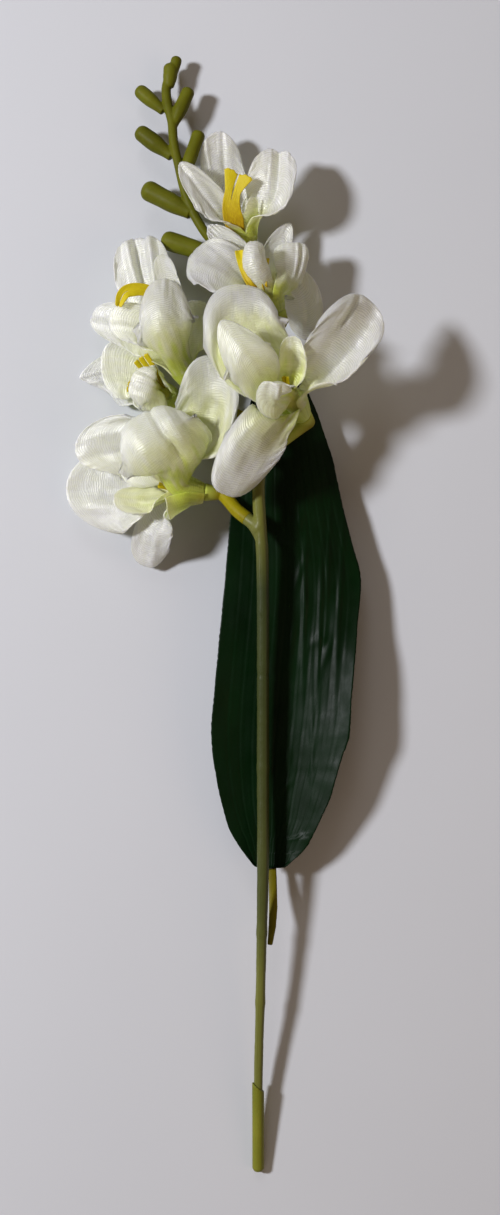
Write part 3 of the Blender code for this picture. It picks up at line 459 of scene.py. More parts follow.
# Folds of single petals. s runs across the petal from -1 to 1 and t along it from 0 to 1.
# folds: s at the base, s at the tip, half width, height in mm towards the outer face, first t, last t
# rim: side (0 for the tip), where the roll begins, height in mm, first t, last t
# tip: s, half width, mm longer; side: side, t, half length, mm wider
DETAIL = {
    "flower_1.R": dict(folds=[(-0.1, -0.15, 0.13, 1.5, 0.35, 1.0), (0.35, 0.3, 0.28, -0.9, 0.2, 1.0), (-0.55, -0.55, 0.2, -0.8, 0.3, 1.0), (0.1, 0.12, 0.06, -0.4, 0.55, 1.0)],
                       tip=[(-0.15, 0.14, -2.2), (-0.5, 0.1, 0.5), (0.3, 0.15, 0.5)], pucker=(0.18, 9), wave=(0.5, 3.0), green=(0.0, 0.45)),
    "flower_1.T": dict(folds=[(0.2, -0.25, 0.10, 0.4, 0.2, 1.0), (-0.4, -0.5, 0.2, -0.3, 0.2, 1.0), (0.5, 0.55, 0.08, -0.25, 0.4, 1.0)], rim=[(0, 0.82, 0.7, 0, 1)],
                       pucker=(0.10, 7), tip=[(0.3, 0.2, -0.5)], wave=(0.35, 3.5), green=(0.0, 0.35)),
    "flower_1.L": dict(folds=[(0.0, 0.1, 0.16, 0.5, 0.2, 1.0)], rim=[(-1, 0.5, -1.3, 0.2, 1), (1, 0.75, 0.5, 0.3, 1)], wave=(0.35, 3.0), green=(0.0, 0.4)),
    "flower_1.Q": dict(green=(0.0, 1.4), tint=0.8, wave=(0.2, 2.0)),
    "flower_2.L": dict(folds=[(0.1, 0.25, 0.25, -0.6, 0.2, 1.0), (-0.5, -0.4, 0.12, 0.4, 0.3, 0.9)], rim=[(0, 0.78, 1.0, 0, 1), (-1, 0.75, 0.6, 0.3, 1)], wave=(0.35, 3.0), green=(0.0, 0.6)),
    "flower_2.F": dict(grow=1.18, folds=[(0.0, 0.0, 0.5, 0.2, 0.3, 1.0)], rim=[(0, 0.88, -0.8, 0, 1)], wave=(0.15, 3.0), green=(0.0, 0.35), pucker=(0.08, 6)),
    "flower_2.R": dict(folds=[(0.2, 0.35, 0.07, 0.55, 0.4, 1.0), (0.4, 0.58, 0.05, -0.5, 0.45, 1.0), (0.6, 0.8, 0.06, 0.5, 0.45, 1.0), (-0.3, -0.3, 0.3, 0.4, 0.1, 1.0)],
                       rim=[(0, 0.88, -0.6, 0, 1)], pucker=(0.14, 8), wave=(0.25, 4.0), green=(0.0, 0.6)),
    "flower_2.B": dict(green=(0.0, 0.8), tip=[(0.0, 0.3, 0.8)]),
    "flower_2.Bh": dict(pucker=(0.25, 8), fray=0.22, tip=[(0.3, 0.12, -0.9), (-0.4, 0.12, -0.7)], wave=(0.45, 4.0)),
    "flower_2.Sh": dict(folds=[(0.2, 0.1, 0.12, 0.5, 0.2, 1.0)], green=(0.0, 0.5), wave=(0.3, 2.5)),
    "flower_3.K": dict(folds=[(0.36, 0.42, 0.17, -2.0, 0.25, 1.0), (0.15, 0.17, 0.09, 1.4, 0.3, 1.0), (-0.34, -0.42, 0.17, -2.0, 0.3, 1.0), (-0.6, -0.66, 0.11, 1.2, 0.35, 1.0), (0.95, 1.0, 0.28, 1.6, 0.3, 1.0)],
                       tip=[(0.85, 0.15, 1.0), (0.45, 0.14, -2.6), (0.08, 0.1, 0.4), (-0.25, 0.12, -3.0), (-0.6, 0.25, 1.6)], pucker=(0.25, 7), fray=0.2, wave=(0.6, 3.5), green=(0.0, 0.3)),
    "flower_3.F": dict(foot=1.5, tm=0.30, grow=1.06, folds=[(-0.35, 0.0, 0.30, 0.5, 0.15, 0.85), (0.5, 0.4, 0.20, -0.5, 0.05, 0.9), (0.0, 0.02, 0.045, 0.35, 0.8, 1.0), (0.14, 0.16, 0.04, -0.3, 0.82, 1.0)],
                       rim=[(1, 0.6, -1.2, 0.1, 0.9), (-1, 0.3, -1.2, 0.1, 1), (0, 0.75, -0.9, 0, 1)], pucker=(0.1, 6), wave=(0.3, 3.0), green=(0.0, 0.8)),
    "flower_3.R": dict(green=(0.0, 1.6), tint=0.7, folds=[(0.1, 0.1, 0.2, 0.5, 0.2, 1.0)]),
    "flower_3.M": dict(folds=[(0.3, 0.2, 0.15, -0.5, 0.3, 1.0)], rim=[(0, 0.8, 0.8, 0, 1)], green=(0.0, 0.9), wave=(0.3, 3.0)),
    "flower_3.S": dict(folds=[(0.2, 0.3, 0.2, -0.8, 0.4, 1.0)], rim=[(-1, 0.7, 0.8, 0.4, 1)], green=(0.0, 0.7), tint=0.6),
    "flower_3.X": dict(green=(0.0, 0.8), wave=(0.35, 3.0)),
    "flower_4.P": dict(folds=[(0.0, 0.1, 0.08, 0.35, 0.2, 1.0), (0.5, 0.2, 0.1, -0.35, 0.3, 1.0)], fray=0.2, wave=(0.25, 4.0), green=(0.0, 0.5)),
    "flower_4.Po": dict(folds=[(0.3, 0.2, 0.2, 0.7, 0.2, 0.9), (-0.4, -0.3, 0.2, -0.5, 0.2, 1.0)], green=(0.0, 1.1), tint=0.6, wave=(0.4, 2.5)),
    "flower_4.Ft": dict(folds=[(0.2, 0.75, 0.05, 0.35, 0.35, 1.0), (0.15, 0.5, 0.05, -0.35, 0.35, 1.0), (0.1, 0.3, 0.05, 0.35, 0.35, 1.0), (0.0, 0.1, 0.05, -0.3, 0.45, 1.0), (-0.4, -0.5, 0.3, 0.5, 0.2, 1.0)],
                        rim=[(0, 0.8, -0.7, 0, 1)], green=(0.0, 0.9), wave=(0.25, 3.0)),
    "flower_4.U": dict(green=(0.0, 1.8), tint=1.0),
    "flower_4.Lo": dict(green=(0.0, 1.6), tint=1.0),
    "flower_5.C2": dict(foot=1.2, tm=0.40, rim=[(0, 0.78, 2.6, 0, 1), (1, 0.70, 0.9, 0.3, 1), (-1, 0.78, 0.6, 0.3, 1)], folds=[(0.0, 0.1, 0.4, 0.6, 0.2, 0.7)], wave=(0.2, 2.5), green=(0.60, 0.98), tint=0.60),
    "flower_5.W": dict(rim=[(1, 0.3, 1.2, 0.2, 1), (0, 0.6, 0.8, 0, 1), (-1, 0.85, -0.3, 0.2, 1)], folds=[(0.0, 0.0, 0.3, -0.5, 0.3, 1.0)], wave=(0.18, 2.0), green=(0.0, 0.8), tint=0.8),
    "flower_5.R1": dict(tilt=-2.4, folds=[(0.62, 0.55, 0.42, -1.8, 0.10, 0.92), (-0.30, -0.30, 0.26, 2.0, 0.15, 1.0), (0.22, 0.28, 0.055, 1.5, 0.70, 0.93), (0.42, 0.40, 0.06, -0.5, 0.68, 0.92)],
                        rim=[(-1, 0.66, -3.4, 0.2, 1), (0, 0.88, 0.8, 0, 1)], pucker=(0.12, 7), wave=(0.30, 5.0), green=(0.0, 0.38), tint=0.7),
    "flower_5.D": dict(relax=(1, 800), tilt=3.2, rim=[(0, 0.70, 1.4, 0, 1), (1, 0.75, 0.5, 0.2, 1), (-1, 0.30, 3.3, 0.2, 1)], folds=[(0.3, 0.2, 0.3, 0.5, 0.1, 0.8)], pucker=(0.08, 7), fray=0.12, wave=(0.2, 3.0),
                       green=(0.0, 0.8), tint=0.8),
    "flower_5.M": dict(folds=[(0.2, 0.1, 0.10, 0.7, 0.2, 1.0), (-0.4, -0.4, 0.2, -0.6, 0.2, 1.0)], rim=[(0, 0.75, -1.0, 0, 1)], green=(0.0, 1.1), tint=0.8, wave=(0.4, 2.5)),
    "flower_5.O": dict(green=(0.0, 1.5), tint=0.9, rim=[(0, 0.8, -0.6, 0, 1)], wave=(0.25, 3.0)),
    "flower_6.T": dict(foot=1.25, tm=0.36, rim=[(-1, 0.3, -1.8, 0.2, 1), (0, 0.7, -1.0, 0, 1)], folds=[(0.25, 0.12, 0.06, -1.5, 0.42, 1.0), (0.5, 0.42, 0.25, 1.1, 0.3, 1.0), (-0.4, -0.45, 0.45, 1.2, 0.15, 1.0), (0.7, 0.62, 0.08, -0.6, 0.4, 0.95), (0.42, 0.40, 0.05, 0.4, 0.5, 0.95)],
                       tip=[(0.15, 0.08, -0.8)], pucker=(0.06, 6), wave=(0.25, 3.0), green=(0.05, 0.9), tint=1.0),
    "flower_6.C1": dict(foot=1.3, tm=0.42, rim=[(-1, 0.15, -2.4, 0.2, 1), (0, 0.86, 0.7, 0, 1)], folds=[(-0.05, 0.0, 0.35, 0.6, 0.2, 0.9), (0.4, 0.3, 0.08, -0.3, 0.0, 0.5)], wave=(0.2, 3.0), green=(0.45, 1.0), tint=0.58),
    "flower_6.Bt": dict(foot=1.2, folds=[(0.35, 0.3, 0.24, -1.0, 0.2, 1.0), (-0.5, -0.5, 0.2, 0.4, 0.3, 0.9)], rim=[(1, 0.6, 0.9, 0.3, 1)], wave=(0.2, 2.5), green=(0.0, 0.3)),
    "flower_6.L2": dict(foot=1.2, tm=0.40, tr=0.26, relax=(1, 300), arch=-3.0, folds=[(0.35, 0.35, 0.16, -0.8, 0.35, 0.95), (-0.1, -0.05, 0.3, 0.7, 0.3, 1.0)], rim=[(0, 0.86, -0.5, 0, 1)],
                        side=[(1, 0.5, 0.22, 1.2)], pucker=(0.05, 8), fray=0.12, wave=(0.25, 3.0), green=(0.0, 0.3)),
    "flower_6.L1": dict(foot=1.6, tm=0.30, grow=1.1, folds=[(0.3, 0.2, 0.15, 0.7, 0.3, 1.0), (-0.4, -0.4, 0.15, -0.6, 0.3, 1.0)], pucker=(0.15, 9), wave=(0.5, 3.0), green=(0.0, 0.4)),
    "flower_6.I": dict(folds=[(0.0, 0.0, 0.2, -0.4, 0.2, 1.0)], green=(0.0, 1.5), tint=0.7, wave=(0.3, 2.0)),
}

def flower_frame(f):
    base, mouth = plan(f["base"]), plan(f["mouth"])
    a = unit(mouth - base)
    up = np.array([0, 0, 1.0])
    u = unit(up - (up @ a) * a)
    return base, a, u, np.cross(a, u), float(np.linalg.norm(mouth - base))


def near_angle(a, ref):
    while a - ref > 180:
        a -= 360
    while a - ref < -180:
        a += 360
    return a


def ease(a, b, c, t, k):
    return np.where(t < k, a + (b - a) * smooth(t / k), b + (c - b) * smooth((t - k) / (1 - k)))


def order_petals(whorl):
    ps = sorted(whorl["petals"], key=lambda q: q["th"] % 360)
    for p in ps:
        p["at"] = p["th"] % 360
    for i, p in enumerate(ps):
        p["hi"] = p["at"] + ((ps[(i + 1) % len(ps)]["at"] - p["at"]) % 360) / 2
        p["lo"] = p["at"] - ((p["at"] - ps[(i - 1) % len(ps)]["at"]) % 360) / 2
    return ps


def arc_angle(p, s):
    return p["at"] + (p["hi"] - p["at"]) * s if s > 0 else p["at"] + (p["at"] - p["lo"]) * s


def ring_point(f, angle, ax, r):
    base, a, u, v, _ = flower_frame(f)
    th = math.radians(angle)
    return base + a * ax + r * (math.cos(th) * u + math.sin(th) * v)


def whorl_mouth(f, which):
    return flower_frame(f)[4] * (1.0 if which == "outer" else f["in_ax"])


def petal_sheet(name, f, which, p, nu, nt):
    """The petal's middle surface with its folds, and its cloth coordinates."""
    base, a, u, v, _ = flower_frame(f)
    r1, ax0 = f[which]["r"], whorl_mouth(f, which)
    start = ring_point(f, p["at"], ax0, r1)
    out = unit(start - (base + a * ax0))
    spine, total = curve_through([start] + [plan(m) for m in p["mid"]] + [plan(p["tip"])], unit(a + 0.35 * out))
    up = np.array([0, 0, 1.0])

    def frames(t):
        pos, d = spine(t)
        n0 = unit(up - dot(np.broadcast_to(up, d.shape), d) * d)
        return pos, d, n0, np.cross(d, n0)

    _, d, n0, w0 = frames(0.02)
    o = out - (out @ d) * d
    rb = math.degrees(math.atan2(-(o @ w0), (o @ n0)))
    rm = near_angle(p["rm"], rb)
    rt = near_angle(p["rt"], rm)
    tm, pw, full = DETAIL.get(name, {}).get("tm", p["tm"]), p["p"], p["W"] * DETAIL.get(name, {}).get("grow", 1.0)
    edge = math.sin(math.radians(78))
    edge_c = (1 - edge ** pw) ** (1 / pw)
    hb = r1 * math.radians((p["hi"] - p["lo"]) / 2) * p["wb"] * DETAIL.get(name, {}).get("foot", 1.0)
    S, T = np.meshgrid(np.linspace(-1, 1, nu + 1), np.linspace(0, 1, nt + 1))
    more = DETAIL.get(name, {})
    # the outline: bays and points of the tip, and bulges of either side
    ts = T * (tm + (1 - tm) * edge_c)
    round_off = np.where(ts <= tm, 1.0, np.maximum(1 - np.clip((ts - tm) / (1 - tm), 0, 1) ** pw, 0) ** (1 / pw))
    half = (hb + (full - hb) * smooth(ts / max(tm, 1e-3))) * round_off
    for side, t0, wide, amount in more.get("side", ()):
        half = half + np.where(S * side > 0, amount * np.exp(-((T - t0) / wide) ** 2), 0.0)
    g = (np.maximum(1 - (np.abs(S) * edge) ** pw, 0) ** (1 / pw) - edge_c) / (1 - edge_c)
    for s0, wide, amount in more.get("tip", ()):
        g = g + amount / total * np.exp(-((S - s0) / wide) ** 2) * smooth(T, 0.35, 1.0)
    tau = ts + (T - ts) * g
    over = np.maximum(tau - 1.0, 0.0)
    pos, d, n0, w0 = frames(np.minimum(tau, 1.0))
    pos = pos + d * over[..., None] * total
    rho = np.radians(ease(rb, rm, rt, tau, p["tr"]))[..., None]
    wv = np.cos(rho) * w0 + np.sin(rho) * n0
    nv = -np.sin(rho) * w0 + np.cos(rho) * n0
    kap = ease(1 / r1, p["cm"] / full, p["ct"] / full, tau, more.get("tr", p["tr"]))
    x = S * half
    flat = np.abs(kap) < 1e-6
    k2 = np.where(flat, 1.0, kap)
    bx = np.where(flat, x, np.sin(k2 * x) / k2)
    dep = np.where(flat, 0.0, -(1 - np.cos(k2 * x)) / k2)
    P = pos + bx[..., None] * wv + dep[..., None] * nv
    rim = np.array([ring_point(f, arc_angle(p, -1 + 2 * i / nu), ax0, r1) for i in range(nu + 1)])
    delta = rim - P[0]
    P = P + delta[None] * (1 - smooth(T / p["tb"]))[..., None]
    # the side on the inside of a bend is drawn out straight
    bent_side, rounds = more.get("relax", (1, 0))
    hold = smooth(S * bent_side, 0.05, 0.75) * smooth(T, 0.03, 0.14) * (1 - smooth(T, 0.72, 0.88))
    for _ in range(rounds):
        P[1:-1] = P[1:-1] + hold[1:-1, :, None] * 0.5 * (0.5 * (P[:-2] + P[2:]) - P[1:-1])
    # folds, in mm towards the outer face
    X, Y = S * half, T * total
    seed = sum(ord(c) * (i + 7) for i, c in enumerate(name))
    live = smooth(T, 0.04, 0.30)
    A = np.abs(S)
    bend = 0.26 * ripples(X, Y, seed, 11.0) + 0.07 * ripples(X, Y, seed + 1, 4.0)
    bend = bend * more.get("soft", 1.0)
    amp, cycles = more.get("wave", (0.45, 3.0))
    rng = np.random.default_rng(seed + 5)
    ph = rng.uniform(0, 6.28, 4)
    along = np.where(S > 0, np.sin(2 * math.pi * cycles * T + ph[0]) + 0.5 * np.sin(2 * math.pi * cycles * 2.1 * T + ph[1]),
                     np.sin(2 * math.pi * cycles * 0.9 * T + ph[2]) + 0.5 * np.sin(2 * math.pi * cycles * 1.9 * T + ph[3]))
    rimward = np.maximum(smooth(A, 0.45, 1.0), smooth(T, 0.75, 1.0) * 0.8)
    bend = bend + amp * 0.6 * along * rimward ** 1.5
    bend = bend + more.get("tilt", 0.0) * S * smooth(T, 0.1, 0.5) + more.get("arch", 0.0) * np.sin(math.pi * np.clip(T, 0, 1))
    for f0 in more.get("folds", ()):
        s0, s1, wide, high, t0, t1 = f0
        c = s0 + (s1 - s0) * T
        win = smooth(T, t0 - 0.12, t0 + 0.10) * (1 - smooth(T, t1 - 0.10, t1 + 0.12))
        bend = bend + high * np.exp(-((S - c) / wide) ** 2) * win
    for side, from_s, high, t0, t1 in more.get("rim", ()):
        win = smooth(T, t0 - 0.15, t0 + 0.1) * (1 - smooth(T, t1 - 0.1, t1 + 0.15)) if t1 < 1 else smooth(T, t0 - 0.15, t0 + 0.1)
        q = np.where(S * side > 0, np.clip((A - from_s) / (1 - from_s), 0, 1), 0) if side else np.clip((T - from_s) / (1 - from_s), 0, 1)
        bend = bend + high * q ** 2 * win
    high, cycles = more.get("pucker", (0.06, 6))
    bend = bend + high * np.sin(math.pi * cycles * S + 1.2 * ripples(S, T, seed + 3, 0.8)) * (smooth(T, 0.80, 1.0) + 0.8 * smooth(A, 0.84, 1.0) * smooth(T, 0.35, 0.6)) * (0.6 + 0.4 * np.sin(3.1 * S + seed))
    du, dv = np.gradient(P, axis=1), np.gradient(P, axis=0)
    N = unit(np.cross(du, dv))
    if rounds:
        # the folds follow the spine's own face on the straightened side
        face = nv * np.sign(np.mean((N * nv).sum(axis=-1)))
        part = smooth(S * bent_side, -0.1, 0.35)[..., None]
        N = unit(N * (1 - part) + face * part)
    P = P + N * (bend * live)[..., None]
    # cut edge: small irregular steps within the sheet
    fray = more.get("fray", 0.10)
    jag = fray * (0.6 * ripples(X * 0 + S * 9.0, Y, seed + 9, 1.3, 5) + 0.6 * ripples(X * 0 + S * 7.0, Y, seed + 10, 0.6, 5))
    P = P + unit(dv) * (jag * smooth(T, 0.88, 1.0) * (T > 0.5))[..., None] + unit(du) * (jag * np.sign(S) * smooth(A, 0.90, 1.0) * live)[..., None]
    # nothing goes below the table
    P[..., 2] = 0.36 + np.logaddexp(0.0, 5.0 * (P[..., 2] - 0.36)) / 5.0
    st = np.stack([X, Y, T], axis=-1)
    lo, hi = more.get("green", (0.0, 0.55) if which == "outer" else (0.0, 0.65))
    tint = (1 - smooth(T, lo, hi)) * more.get("tint", 1.0 if which == "outer" else 0.75)
    tint = np.clip(tint * (1.0 + 0.25 * ripples(X, Y * 0.3, seed + 20, 3.0)), 0, 1)
    d0, d1, dk = more.get("deep", (0.0, 0.30, 0.35 if which == "inner" else 0.0))
    deep = (1 - smooth(T, d0, d1)) * dk
    hem = np.maximum(smooth(A, 0.975, 0.995) * smooth(T, 0.15, 0.4), smooth(T, 0.982, 0.997))
    return P, st, tint, np.stack([deep, hem], axis=-1)


# funnels that open on one side: axis points, angles from the top towards the lower side, radii in mm
THROATS = {"flower_6": dict(axis=[(203, 492, 17), (186, 491, 18), (162, 497, 18.6)], spread=(8, 122), radii=(3.6, 7.3))}


def throat_sheet(one, nu, nt):
    axis, total = curve_through([plan(q) for q in one["axis"]])
    S, T = np.meshgrid(np.linspace(0, 1, nu + 1), np.linspace(0, 1, nt + 1))
    tau = T * (1 - 0.16 * (S - 0.35) ** 2 - 0.03 * np.sin(9 * S + 0.6))
    pos, d = axis(tau)
    n0 = unit(np.array([0, 0, 1.0]) - d[..., 2:3] * d)
    w0 = np.cross(d, n0)
    th = np.radians(one["spread"][0] + (one["spread"][1] - one["spread"][0]) * S)
    r = one["radii"][0] + (one["radii"][1] - one["radii"][0]) * tau ** 0.85 + 0.25 * ripples(S * 9.0, tau * total, 77, 7.0) * smooth(tau, 0.2, 0.7) + 0.5 * smooth(tau, 0.8, 1.0)
    P = pos + r[..., None] * (np.cos(th)[..., None] * n0 - np.sin(th)[..., None] * w0)
    st = np.stack([r * th, tau * total, T], axis=-1)
    tint = 1.1 - 0.25 * smooth(tau, 0.45, 1.0) - 0.10 * S
    hem = np.maximum(smooth(T, 0.96, 0.99), smooth(S, 0.97, 0.99) * smooth(T, 0.3, 0.6))
    return P, st, tint, np.stack([0.45 * (1 - smooth(tau, 0.0, 0.35)), hem], axis=-1)


def loose_threads(P, st, tint, deep, seed, count):
    """Short thin threads that stand out from the sheet's cut edge: points, quads and their coordinates."""
    rng = np.random.default_rng(seed)
    rows, cols = P.shape[0], P.shape[1]
    pts, quads, s_, t_, d_ = [], [], [], [], []
    for _ in range(count):
        if rng.random() < 0.5:
            j, i = rows - 1, int(rng.integers(2, cols - 2))
            inner = P[j - 3, i]
        else:
            j, i = int(rng.integers(rows // 2, rows - 1)), 0 if rng.random() < 0.5 else cols - 1
            inner = P[j, 3 if i == 0 else cols - 4]
        here = P[j, i]
        way = unit(here - inner)
        lay = unit(P[min(j + 1, rows - 1), i] - P[j - 1, i]) if i in (0, cols - 1) else unit(P[j, i + 1] - P[j, i - 1])
        up = np.cross(way, lay)
        bend_, lift, ln = rng.uniform(-0.9, 0.9), rng.uniform(-0.4, 0.4), rng.uniform(0.3, 0.95)
        base_i = len(pts)
        for k in range(4):
            q = k / 3
            c = here - way * 0.15 + way * ln * q + lay * bend_ * ln * q * q + up * lift * ln * q * q
            r = 0.045 * (1 - 0.5 * q)
            for a in range(3):
                pts.append(c + r * (math.cos(a * 2.094) * lay + math.sin(a * 2.094) * up))
                s_.append(st[j, i]); t_.append(tint[j, i]); d_.append(deep[j, i])
        for k in range(3):
            for a in range(3):
                b = (a + 1) % 3
                quads.append((base_i + 3 * k + a, base_i + 3 * k + b, base_i + 3 * k + 3 + b, base_i + 3 * k + 3 + a))
        quads.append((base_i + 2, base_i + 1, base_i)); quads.append((base_i + 9, base_i + 10, base_i + 11))
    return pts, quads, s_, t_, d_


def whorl(fname, which, mat):
    f = FLOWERS[fname]
    nu, nt, nf = ((40, 55, 9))
    ps = order_petals(f[which])
    n = nu * len(ps)
    ax0, ax1 = (0.0 if which == "outer" else 1.0), whorl_mouth(f, which)
    r0, r1 = f[which]["r0"], f[which]["r"]
    sheets = [petal_sheet(f"{fname}.{p['n']}", f, which, p, nu, nt) for p in ps]
    pts, st, tint, deep, quads = [], [], [], [], []
    for k in range(nf):
        q = k / nf
        for p in ps:
            for i in range(nu):
                ang = arc_angle(p, -1 + 2 * i / nu)
                pts.append(ring_point(f, ang, ax0 + (ax1 - ax0) * q, r0 + (r1 - r0) * q ** 0.8))
                st.append((math.radians(ang) * r1, -(1 - q) * (ax1 - ax0), 0.0))
                tint.append(1.0 if which == "outer" else 0.75)
                deep.append((0.0 if which == "outer" else 0.35, 0.0))
    for P, s, t, dd in sheets:
        for i in range(nu):
            pts.append(P[0][i]); st.append(s[0][i]); tint.append(t[0][i]); deep.append(dd[0][i])
    for k in range(nf):
        for i in range(n):
            j = (i + 1) % n
            quads.append((k * n + i, k * n + j, (k + 1) * n + j, (k + 1) * n + i))
    for q, (P, s, t, dd) in enumerate(sheets):
        before = [nf * n + (q * nu + i) % n for i in range(nu + 1)]
        for r in range(1, nt + 1):
            here = [len(pts) + i for i in range(nu + 1)]
            pts += list(P[r]); st += list(s[r]); tint += list(t[r]); deep += list(dd[r])
            quads += [(before[i], before[i + 1], here[i + 1], here[i]) for i in range(nu)]
            before = here
    if which == "outer" and fname in THROATS:
        P, s, t, dd = throat_sheet(THROATS[fname], nu, nt)
        k0, w_ = len(pts), nu + 1
        pts += list(P.reshape(-1, 3)); st += list(s.reshape(-1, 3)); tint += list(t.ravel()); deep += list(dd.reshape(-1, 2))
        quads += [(k0 + j * w_ + i, k0 + j * w_ + i + 1, k0 + (j + 1) * w_ + i + 1, k0 + (j + 1) * w_ + i) for j in range(nt) for i in range(nu)]
    obj = mesh_object(f"{fname}_{which}_cloth", np.array(pts), quads, {"st": np.array(st), "tint": np.array(tint), "deep": np.array(deep)[:, 0], "hem": np.array(deep)[:, 1]})
    s = obj.modifiers.new("cloth", "SOLIDIFY")
    s.thickness = CLOTH * MM
    s.offset = 0.0
    settle(obj)
    pts, quads, s_, t_, d_ = [], [], [], [], []
    for q, (P, a_, b_, c_) in enumerate(sheets):
        more = DETAIL.get(f"{fname}.{ps[q]['n']}", {})
        got = loose_threads(P, a_, b_, c_, 900 + q + sum(map(ord, fname + which)), int(60 * more.get("fray", 0.10)) + 4)
        k = len(pts)
        pts += got[0]; quads += [tuple(v + k for v in face) for face in got[1]]; s_ += got[2]; t_ += got[3]; d_ += got[4]
    threads = mesh_object(f"{fname}_{which}_threads", np.array(pts), quads, {"st": np.array(s_), "tint": np.array(t_), "deep": np.array(d_)[:, 0], "hem": np.ones(len(d_))})
    bm = bmesh.new()
    bm.from_mesh(obj.data)
    bm.from_mesh(threads.data)
    bm.to_mesh(obj.data)
    bm.free()
    gone = threads.data
    bpy.data.objects.remove(threads, do_unlink=True)
    bpy.data.meshes.remove(gone)
    obj.data.shade_smooth()
    put(obj, mat, "petal_white", f"{fname}_{which}_petals")
    return obj


# the straps' routes past the mouth, the half widths along them, and how far down they are slit
STRAPS = {
    "flower_1": [dict(way=[(243.5, 237, 19), (234.0, 221, 23), (231.5, 200, 26), (239.5, 172, 28.5)], half=[(0, 1.0), (0.28, 1.2), (0.44, 3.2), (0.62, 2.9), (0.78, 2.8), (1, 5.2)], prongs=2, slit=0.70)],
    "flower_2": [dict(way=[(252, 286, 29), (244, 272, 33), (239, 250, 35)], half=[(0, 0.8), (0.4, 0.9), (0.7, 1.1), (1, 1.4)], prongs=1, slit=1.0),
                 dict(way=[(264.5, 284, 30), (266.5, 258, 32.5)], half=[(0, 0.7), (0.5, 0.8), (1, 0.9)], prongs=1, slit=1.0)],
    "flower_3": [dict(way=[(167, 320, 20), (160, 301, 22.4), (150, 291.5, 24.4), (136, 289.5, 25.8), (124.5, 293, 26), (118.5, 307, 25.2)], half=[(0, 0.9), (0.45, 1.5), (0.66, 1.75), (0.82, 2.1), (0.93, 2.0), (1, 1.2)], prongs=2, slit=0.86)],
    "flower_4": [dict(way=[(152, 374, 18), (140, 357, 21)], half=[(0, 0.9), (0.5, 1.8), (1, 3.0)], prongs=3, slit=0.55),
                 dict(way=[(149, 392, 15.5), (127, 386, 20)], half=[(0, 0.8), (0.5, 1.1), (1, 2.0)], prongs=2, slit=0.75)],
    "flower_5": [dict(way=[(285, 376, 35.3)], half=[(0, 0.7), (1, 1.2)], prongs=2, slit=0.7)],
    "flower_6": [dict(way=[(158, 484, 21.5)], half=[(0, 0.7), (1, 1.4)], prongs=2, slit=0.7)],
}


def stamens(fname, mat):
    f = FLOWERS[fname]
    base, a, u, v, length = flower_frame(f)
    reach = whorl_mouth(f, "inner")
    pts, st, quads = [], [], []
    for one in STRAPS[fname]:
        path, total = curve_through([base + a * 0.5, base + a * reach * 0.75] + [plan(p) for p in one["way"]], a, 0.6)
        prongs = one["prongs"]
        rows, per = 48, 16 // prongs
        split = int(rows * one["slit"])
        seed = sum(map(ord, fname))
        index = {}
        for j in range(rows + 1):
            t = j / rows
            pos, d = path(t)
            n0 = unit(np.array([0, 0, 1.0]) - d[2] * d)
            w0 = np.cross(d, n0)
            half = float(between(one["half"], np.array(t)))
            slit = max(0, j - split) / max(rows - split, 1)
            for k in range(prongs):
                for c in range(per + 1):
                    if c == 0 and k > 0 and j <= split:
                        index[j, k, c] = index[j, k - 1, per]
                        continue
                    q = c / per
                    across = (-1 + 2 * (k + q) / prongs)
                    mid = (-1 + 2 * (k + 0.5) / prongs)
                    across = mid + (across - mid) * (1 - 0.30 * slit * (1.15 - slit))
                    lift = 0.25 * math.sin(math.pi * q) * slit + 0.45 * across ** 2 * t + 0.35 * slit * math.sin(2.1 * k + seed) + 0.12 * math.sin(11 * t + 3 * across)
                    ragged = (0.35 * math.sin(17.0 * across + seed) - 0.45 * abs(2 * q - 1) ** 2 * half / prongs) if j == rows else 0.0
                    index[j, k, c] = len(pts)
                    pts.append(pos + w0 * across * half * (1 + 0.04 * math.sin(13 * t + seed)) + n0 * lift + d * ragged)
                    st.append((across * half, t * total, t))
        for j in range(rows):
            for k in range(prongs):
                for c in range(per):
                    quads.append((index[j, k, c], index[j, k, c + 1], index[j + 1, k, c + 1], index[j + 1, k, c]))
    obj = mesh_object(f"{fname}_stamen_strap", np.array(pts), quads, {"st": np.array(st)})
    s = obj.modifiers.new("strap", "SOLIDIFY")
    s.thickness, s.offset = 0.45 * MM, 0.0
    b = obj.modifiers.new("round", "SUBSURF")
    b.levels = b.render_levels = 1
    settle(obj)
    return put(obj, mat, "stamen_yellow", f"{fname}_stamens")


# ---------------------------------------------------------------- moulded pieces from the CAD solids
def remould(source, name, voxel, rounds):
    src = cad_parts[source]
    obj = bpy.data.objects.new(name, src.data.copy())
    bpy.context.scene.collection.objects.link(obj)
    r = obj.modifiers.new("remesh", "REMESH")
    r.mode, r.voxel_size, r.use_smooth_shade = "VOXEL", voxel * MM, True
    s = obj.modifiers.new("soften", "SMOOTH")
    s.factor, s.iterations = 0.5, rounds
    settle(obj)
    obj.data.shade_smooth()
    return obj


